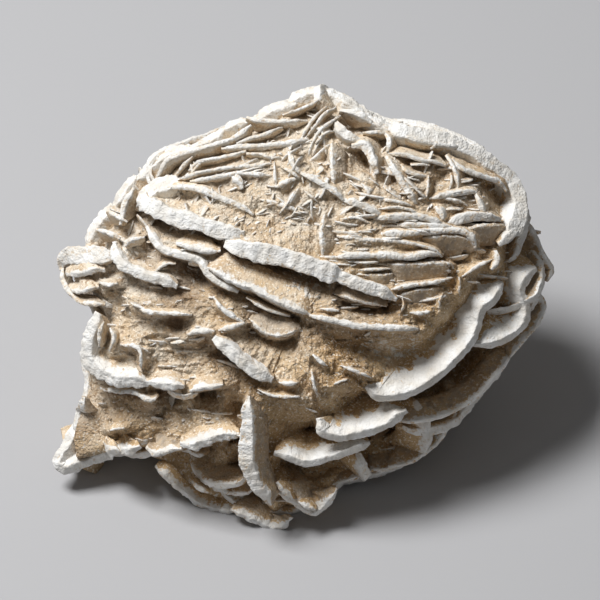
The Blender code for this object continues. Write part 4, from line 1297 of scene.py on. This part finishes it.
def back_sand(limit):
    """Back of the sand: along each direction the skin, plus its blades' banks, crests and grain.

    At the edge of the face the reach blends to that of the outline, and the first rings close it.
    """
    rows = np.linspace(0, len(limit), BACK_AROUND, endpoint=False).astype(int)
    edge = limit[rows][:, None]
    angle = rows[:, None] / len(limit) * 2.0 * np.pi
    tip = np.linspace(TIP_START, np.pi / 2.0, BACK_ACROSS)[None, :]
    flat = np.stack([edge * np.cos(angle), edge * np.sin(angle) - HEART[1]], -1)
    turn = np.arctan2(flat[..., 1], flat[..., 0])
    directions = np.stack([np.cos(tip) * np.cos(turn), np.cos(tip) * np.sin(turn),
                           -np.sin(tip) + 0.0 * turn], -1)
    skin = skin_distances(directions)
    blend = 1.0 - smoothstep(0.0, BLEND_END, tip)
    start = layered(HEART + directions * skin[..., None], START_NOISE, 34,
                    np.linalg.norm(flat, axis=-1) - START_INSET)
    height, hollow_and_painted_shade = back_height(directions, skin, large_back + lesser_back)
    reach = skin * (1.0 - blend) + start * blend + height * (1.0 - blend ** 3)
    behind = HEART + directions * reach[..., None]
    level, _ = crystal_crests(behind, 71)
    rugged = layered(behind, BACK_RUGGED, 31) + BACK_CREST * level
    behind = drawn_in(behind + directions * (rugged * (1.0 - blend ** 3))[..., None])
    inner = np.linspace(0.0, UNDER_END, BACK_UNDER)[None, :, None]
    front = HEART + (behind[:, :1] - HEART) * inner
    points = np.concatenate([front, behind], 1)
    hidden = np.zeros((BACK_AROUND, BACK_UNDER))
    chalk = smoothstep(*BACK_CHALK, level) * BACK_CHALK_MOST
    return points, np.concatenate([hidden, chalk], 1), np.concatenate([hidden, hollow_and_painted_shade], 1)


# The caught sand's colours, with a painted shade for its trenches and hollows, its patterns of
# noise, and where chalk starts and is whole
# Painted shade: the dark brown painted in trenches and hollows
PAINTED_SHADE_BROWN = (0.20, 0.115, 0.055, 1.0)
CREST_CHALK = (0.80, 0.77, 0.71, 1.0)
PAINTED_SHADE_BREAKS = (500.0, 4.0, 0.25, 0.6, 0.35, 0.9)
CREST_SPECKS = (1500.0, 3.0, 0.3, 0.7, -0.34, 0.34)
CREST_EDGE = (0.4, 0.7)
CAUGHT_ROUGHNESS = 0.9


def caught_sand():
    """Sand set hard by gypsum: tan grains, painted darker brown as shade in trenches and hollows, chalky on
    the crests.
    """
    material, tree, where, sand = sandy_material("caught_sand")
    # Painted shade: darker brown where the mask of trenches and hollows is strong, broken by noise
    painted_shade_share = combine(tree, "MULTIPLY", mask_of(tree, "hollow_and_painted_shade"), noise_mask(tree, where, PAINTED_SHADE_BREAKS))
    colour = mix_colours(tree, painted_shade_share, sand.outputs["Color"], PAINTED_SHADE_BROWN)
    broken = combine(tree, "ADD", mask_of(tree, "chalk"), noise_mask(tree, where, CREST_SPECKS))
    colour = mix_colours(tree, stretched(tree, broken, *CREST_EDGE), colour, CREST_CHALK)
    finish_surface(tree, colour, CAUGHT_ROUGHNESS, sand, strength=1.0, distance=0.0003)
    return material


sand_material = caught_sand()


def make_sand(name, points, chalk, hollow_and_painted_shade):
    """One closed sandy body from a grid of rings, its faces turned outward."""
    quads = grid_faces(*points.shape[:2])
    if is_inside_out(points):
        quads = quads[:, ::-1]
    masks = {"chalk": chalk.ravel(), "hollow_and_painted_shade": hollow_and_painted_shade.ravel()}
    fill_mesh(name, points.reshape(-1, 3), quads, masks, sand_material)


face_points, face_chalk, face_painted_shade, edge_limit = face_sand()
make_sand("sand_face", face_points, face_chalk, face_painted_shade)
back_points, back_chalk, back_painted_shade = back_sand(edge_limit)
make_sand("sand_back", back_points, back_chalk, back_painted_shade)


# Small crystals: over a thousand slivers of gypsum that poke through the sand everywhere, lying
# the way the large blades near them lie. Their crests are chalky and their sides sandy.
# A sliver: stations along it, corners of its section, and how its ends pinch and its crest varies
SLIVER_STATIONS = np.array([-1.0, -0.62, 0.1, 0.7, 1.0])
SLIVER_SECTION = np.array([(-1.9, -1.0), (-1.05, 0.35), (-0.4, 1.0), (0.4, 1.0), (1.05, 0.35),
                           (1.9, -1.0)])
SLIVER_POWER = 2.5
SLIVER_BOW = 0.10
SLIVER_CHIPS = 0.2
SLIVER_SINK = -0.8
SLIVER_WIDE_END = 0.3
SLIVER_TALL_END = 0.1
CREST_WHITE = 0.8
FLANK_WHITE = 0.5


def sliver(centre, along, outward, half, width, height, dice):
    """A small wedge of six sides by five stations, pinched and sunk at its ends and bowed a little."""
    side = np.cross(outward, along)
    pinch = np.sqrt(np.clip(1.0 - np.abs(SLIVER_STATIONS) ** SLIVER_POWER, 0.0, 1.0))
    bow = dice.normal(0.0, SLIVER_BOW) * half * (1.0 - SLIVER_STATIONS ** 2)
    crest = 1.0 + dice.normal(0.0, SLIVER_CHIPS, len(SLIVER_STATIONS))
    spine = centre + along * (SLIVER_STATIONS * half)[:, None] + side * bow[:, None]
    wide = 0.5 * width * grown(SLIVER_WIDE_END, pinch)
    tall = height * grown(SLIVER_TALL_END, pinch) * crest
    across, up = SLIVER_SECTION[:, 0, None], SLIVER_SECTION[:, 1, None]
    risen = np.where(up > 0.0, up * tall, SLIVER_SINK)
    grid = close_ends(spine + side * (across * wide)[..., None] + outward * risen[..., None])
    chalk = np.where(up > 0.9, CREST_WHITE, FLANK_WHITE) * np.ones(grid.shape[1])
    return grid, chalk, np.zeros(grid.shape[:2])


# Parts of the face as (left, right, bottom, top), with no limit where a side is infinite
CROSSING_PART = (-4.0, 22.0, 15.0, 31.0)
ARC_PART = (-math.inf, 2.0, 12.0, math.inf)
SLAT_PART = (4.0, math.inf, -1.0, math.inf)
PETAL_PART = (4.0, math.inf, -math.inf, math.inf)
FULL_PARTS = ((-math.inf, math.inf, 12.0, math.inf), (4.0, math.inf, 0.0, math.inf))
LEFT_PART = (-math.inf, -8.0, -math.inf, math.inf)
LEFT_SHARE = 0.25
OPEN_SHARE = 0.1
# How small crystals lie in degrees from level: (mean, spread) for each part, the ways that they
# cross by, and the centre round which the arcs run
CROSSING_WAYS = (90.0, -40.0, 25.0, -8.0, 60.0)
CROSSING_SPREAD = 9.0
ARC_CENTRE = (-2.0, 2.0)
ARC_SPREAD = 10.0
ARC_CROSSING = 70.0
ARC_CROSSING_SHARE = 0.3
SLAT_LIE = (-1.0, 6.0)
PETAL_LIE = (25.0, 18.0)
REST_LIE = (-4.0, 13.0)


def within(u, v, part):
    """Whether a spot lies inside a part of the face."""
    left, right, bottom, top = part
    return left < u < right and bottom < v < top


def share_of_face(u, v):
    """Share of the small crystals that show: all among the crown's blades, few in open sand."""
    if any(within(u, v, part) for part in FULL_PARTS):
        return 1.0
    return LEFT_SHARE if within(u, v, LEFT_PART) else OPEN_SHARE


def lie_of_face(u, v, dice):
    """The way in which small crystals run here on the face, in radians from level."""
    if within(u, v, CROSSING_PART):
        return math.radians(dice.choice(CROSSING_WAYS) + dice.normal(0.0, CROSSING_SPREAD))
    if within(u, v, ARC_PART):
        turned = ARC_CROSSING if dice.random() < ARC_CROSSING_SHARE else 0.0
        round_arc = math.atan2(v - ARC_CENTRE[1], u - ARC_CENTRE[0]) - math.pi / 2.0
        return round_arc + math.radians(dice.normal(turned, ARC_SPREAD))
    if within(u, v, SLAT_PART):
        return math.radians(dice.normal(*SLAT_LIE))
    return math.radians(dice.normal(*(PETAL_LIE if within(u, v, PETAL_PART) else REST_LIE)))


# Where rays start, how level the sand must be to hold a sliver, and how slivers lean
FACE_LEFT, FACE_RIGHT = -39.0, 40.0
FACE_BOTTOM, FACE_TOP = -34.0, 36.0
START_HEIGHT = 60.0
START_DISTANCE = 90.0
STEEPEST_SEAT = 0.3
BACK_TURNS = 0.35
SLIVER_LEAN = 0.35
# Half length as (least, range, power), and sizes as (least, share of it, most by chance)
SLIVER_HALF = (0.4, 2.4, 2.2)
SLIVER_WIDTH = (0.14, 0.10, 0.10)
SLIVER_HEIGHT = (0.14, 0.17, 0.22)


def slivers_on(points, count, seed, on_face):
    """Slivers where random rays from outside meet the sand, with lengths that fall off as a power."""
    dice = np.random.default_rng(seed)
    quads = grid_faces(*points.shape[:2]).tolist()
    tree = BVHTree.FromPolygons(points.reshape(-1, 3).tolist(), quads)
    shells = []
    for _ in range(count):
        if on_face:
            u, v = dice.uniform(FACE_LEFT, FACE_RIGHT), dice.uniform(FACE_BOTTOM, FACE_TOP)
            outward = np.array([0.0, 0.0, 1.0])
            hit, normal, _, _ = tree.ray_cast((u, v, START_HEIGHT), Vector(-outward))
            if hit is None or abs(normal[2]) < STEEPEST_SEAT or dice.random() > share_of_face(u, v):
                continue
            angle = lie_of_face(u, v, dice)
            along = np.array([math.cos(angle), math.sin(angle), 0.0])
        else:
            outward = unit(dice.normal(size=3))
            outward[2] = -abs(outward[2])
            hit = tree.ray_cast(Vector(HEART + outward * START_DISTANCE), Vector(-outward))[0]
            if hit is None:
                continue
            along = lying(outward, dice.normal(0.0, BACK_TURNS) + crossing_turn(dice))
        outward = unit(outward + np.cross(outward, along) * dice.normal(0.0, SLIVER_LEAN))
        half = half_length(SLIVER_HALF, dice)
        width = size_for(SLIVER_WIDTH, half, dice)
        height = size_for(SLIVER_HEIGHT, half, dice)
        shells.append(sliver(np.array(hit), along, outward, half, width, height, dice))
    return shells


make_piece("slivers_face", slivers_on(face_points, count=2000, seed=5, on_face=True), 1.0, gypsum)
make_piece("slivers_back", slivers_on(back_points, count=800, seed=6, on_face=False), 1.0, gypsum)


# Floor: one broad pale sheet that the cluster stands on, painted a plain matt grey. It is a
# stage for the part and no piece of it, and it lies at the height of the flat foot.
FLOOR_HALF = 2.0
FLOOR_GREY = (0.42, 0.42, 0.43, 1.0)
FLOOR_ROUGHNESS = 0.9
floor_mesh = bpy.data.meshes.new("floor")
corners = [(FLOOR_HALF * side, FLOOR_HALF * end, 0.0) for side, end in ((-1, -1), (1, -1), (1, 1), (-1, 1))]
floor_mesh.from_pydata(corners, [], [(0, 1, 2, 3)])
floor = bpy.data.objects.new("floor", floor_mesh)
bpy.context.scene.collection.objects.link(floor)
floor_paint = bpy.data.materials.new("floor_paint")
floor_paint.use_nodes = True
paint = floor_paint.node_tree.nodes["Principled BSDF"]
paint.inputs["Base Color"].default_value = FLOOR_GREY
paint.inputs["Roughness"].default_value = FLOOR_ROUGHNESS
floor_mesh.materials.append(floor_paint)


# Light: one soft square lamp nearly overhead and a little to the left, hung along a direction
# of the growth frame and facing its middle, with a weak even fill from all round.
LAMP_DIRECTION = (-0.42, 0.70, 0.58)
LAMP_DISTANCE = 0.7
LAMP_SIZE = 0.25
LAMP_POWER = 6.6
FILL_LIGHT = 0.13
lamp_data = bpy.data.lights.new("overhead_lamp", "AREA")
lamp_data.size = LAMP_SIZE
lamp_data.energy = LAMP_POWER
lamp = bpy.data.objects.new("overhead_lamp", lamp_data)
bpy.context.scene.collection.objects.link(lamp)
toward_lamp = np.array(LAMP_DIRECTION) / np.linalg.norm(LAMP_DIRECTION) @ AXES
lamp.location = place([0.0, 0.0, 0.0]) + toward_lamp * LAMP_DISTANCE
lamp.rotation_euler = Vector(toward_lamp).to_track_quat("Z", "Y").to_euler()
world = bpy.data.worlds.new("room")
world.use_nodes = True
background = world.node_tree.nodes["Background"]
background.inputs["Color"].default_value = (1.0, 1.0, 1.0, 1.0)
background.inputs["Strength"].default_value = FILL_LIGHT
bpy.context.scene.world = world


# Camera: a long lens that looks straight down the growth axis, far enough off to be nearly
# without perspective. Its frame is set so that MIDDLE_PIXEL shows the growth frame's middle.
CAMERA_DISTANCE = 800.0
PIXELS_PER_MM = 6.2
IMAGE_SIDE = 600
MIDDLE_PIXEL = (305.0, 310.0)
SENSOR_WIDTH = 36.0
NEAREST_SEEN = 0.01
camera_data = bpy.data.cameras.new("camera")
camera_data.sensor_width = SENSOR_WIDTH
camera_data.lens = SENSOR_WIDTH * CAMERA_DISTANCE * PIXELS_PER_MM / IMAGE_SIDE
camera_data.clip_start = NEAREST_SEEN
camera = bpy.data.objects.new("camera", camera_data)
bpy.context.scene.collection.objects.link(camera)
centre_u = (IMAGE_SIDE / 2.0 - MIDDLE_PIXEL[0]) / PIXELS_PER_MM
centre_v = (MIDDLE_PIXEL[1] - IMAGE_SIDE / 2.0) / PIXELS_PER_MM
camera.location = place([centre_u, centre_v, CAMERA_DISTANCE])
camera.rotation_euler = (math.pi / 2.0 - LEAN, 0.0, 0.0)
bpy.context.scene.camera = camera
bpy.context.scene.view_settings.view_transform = "Standard"
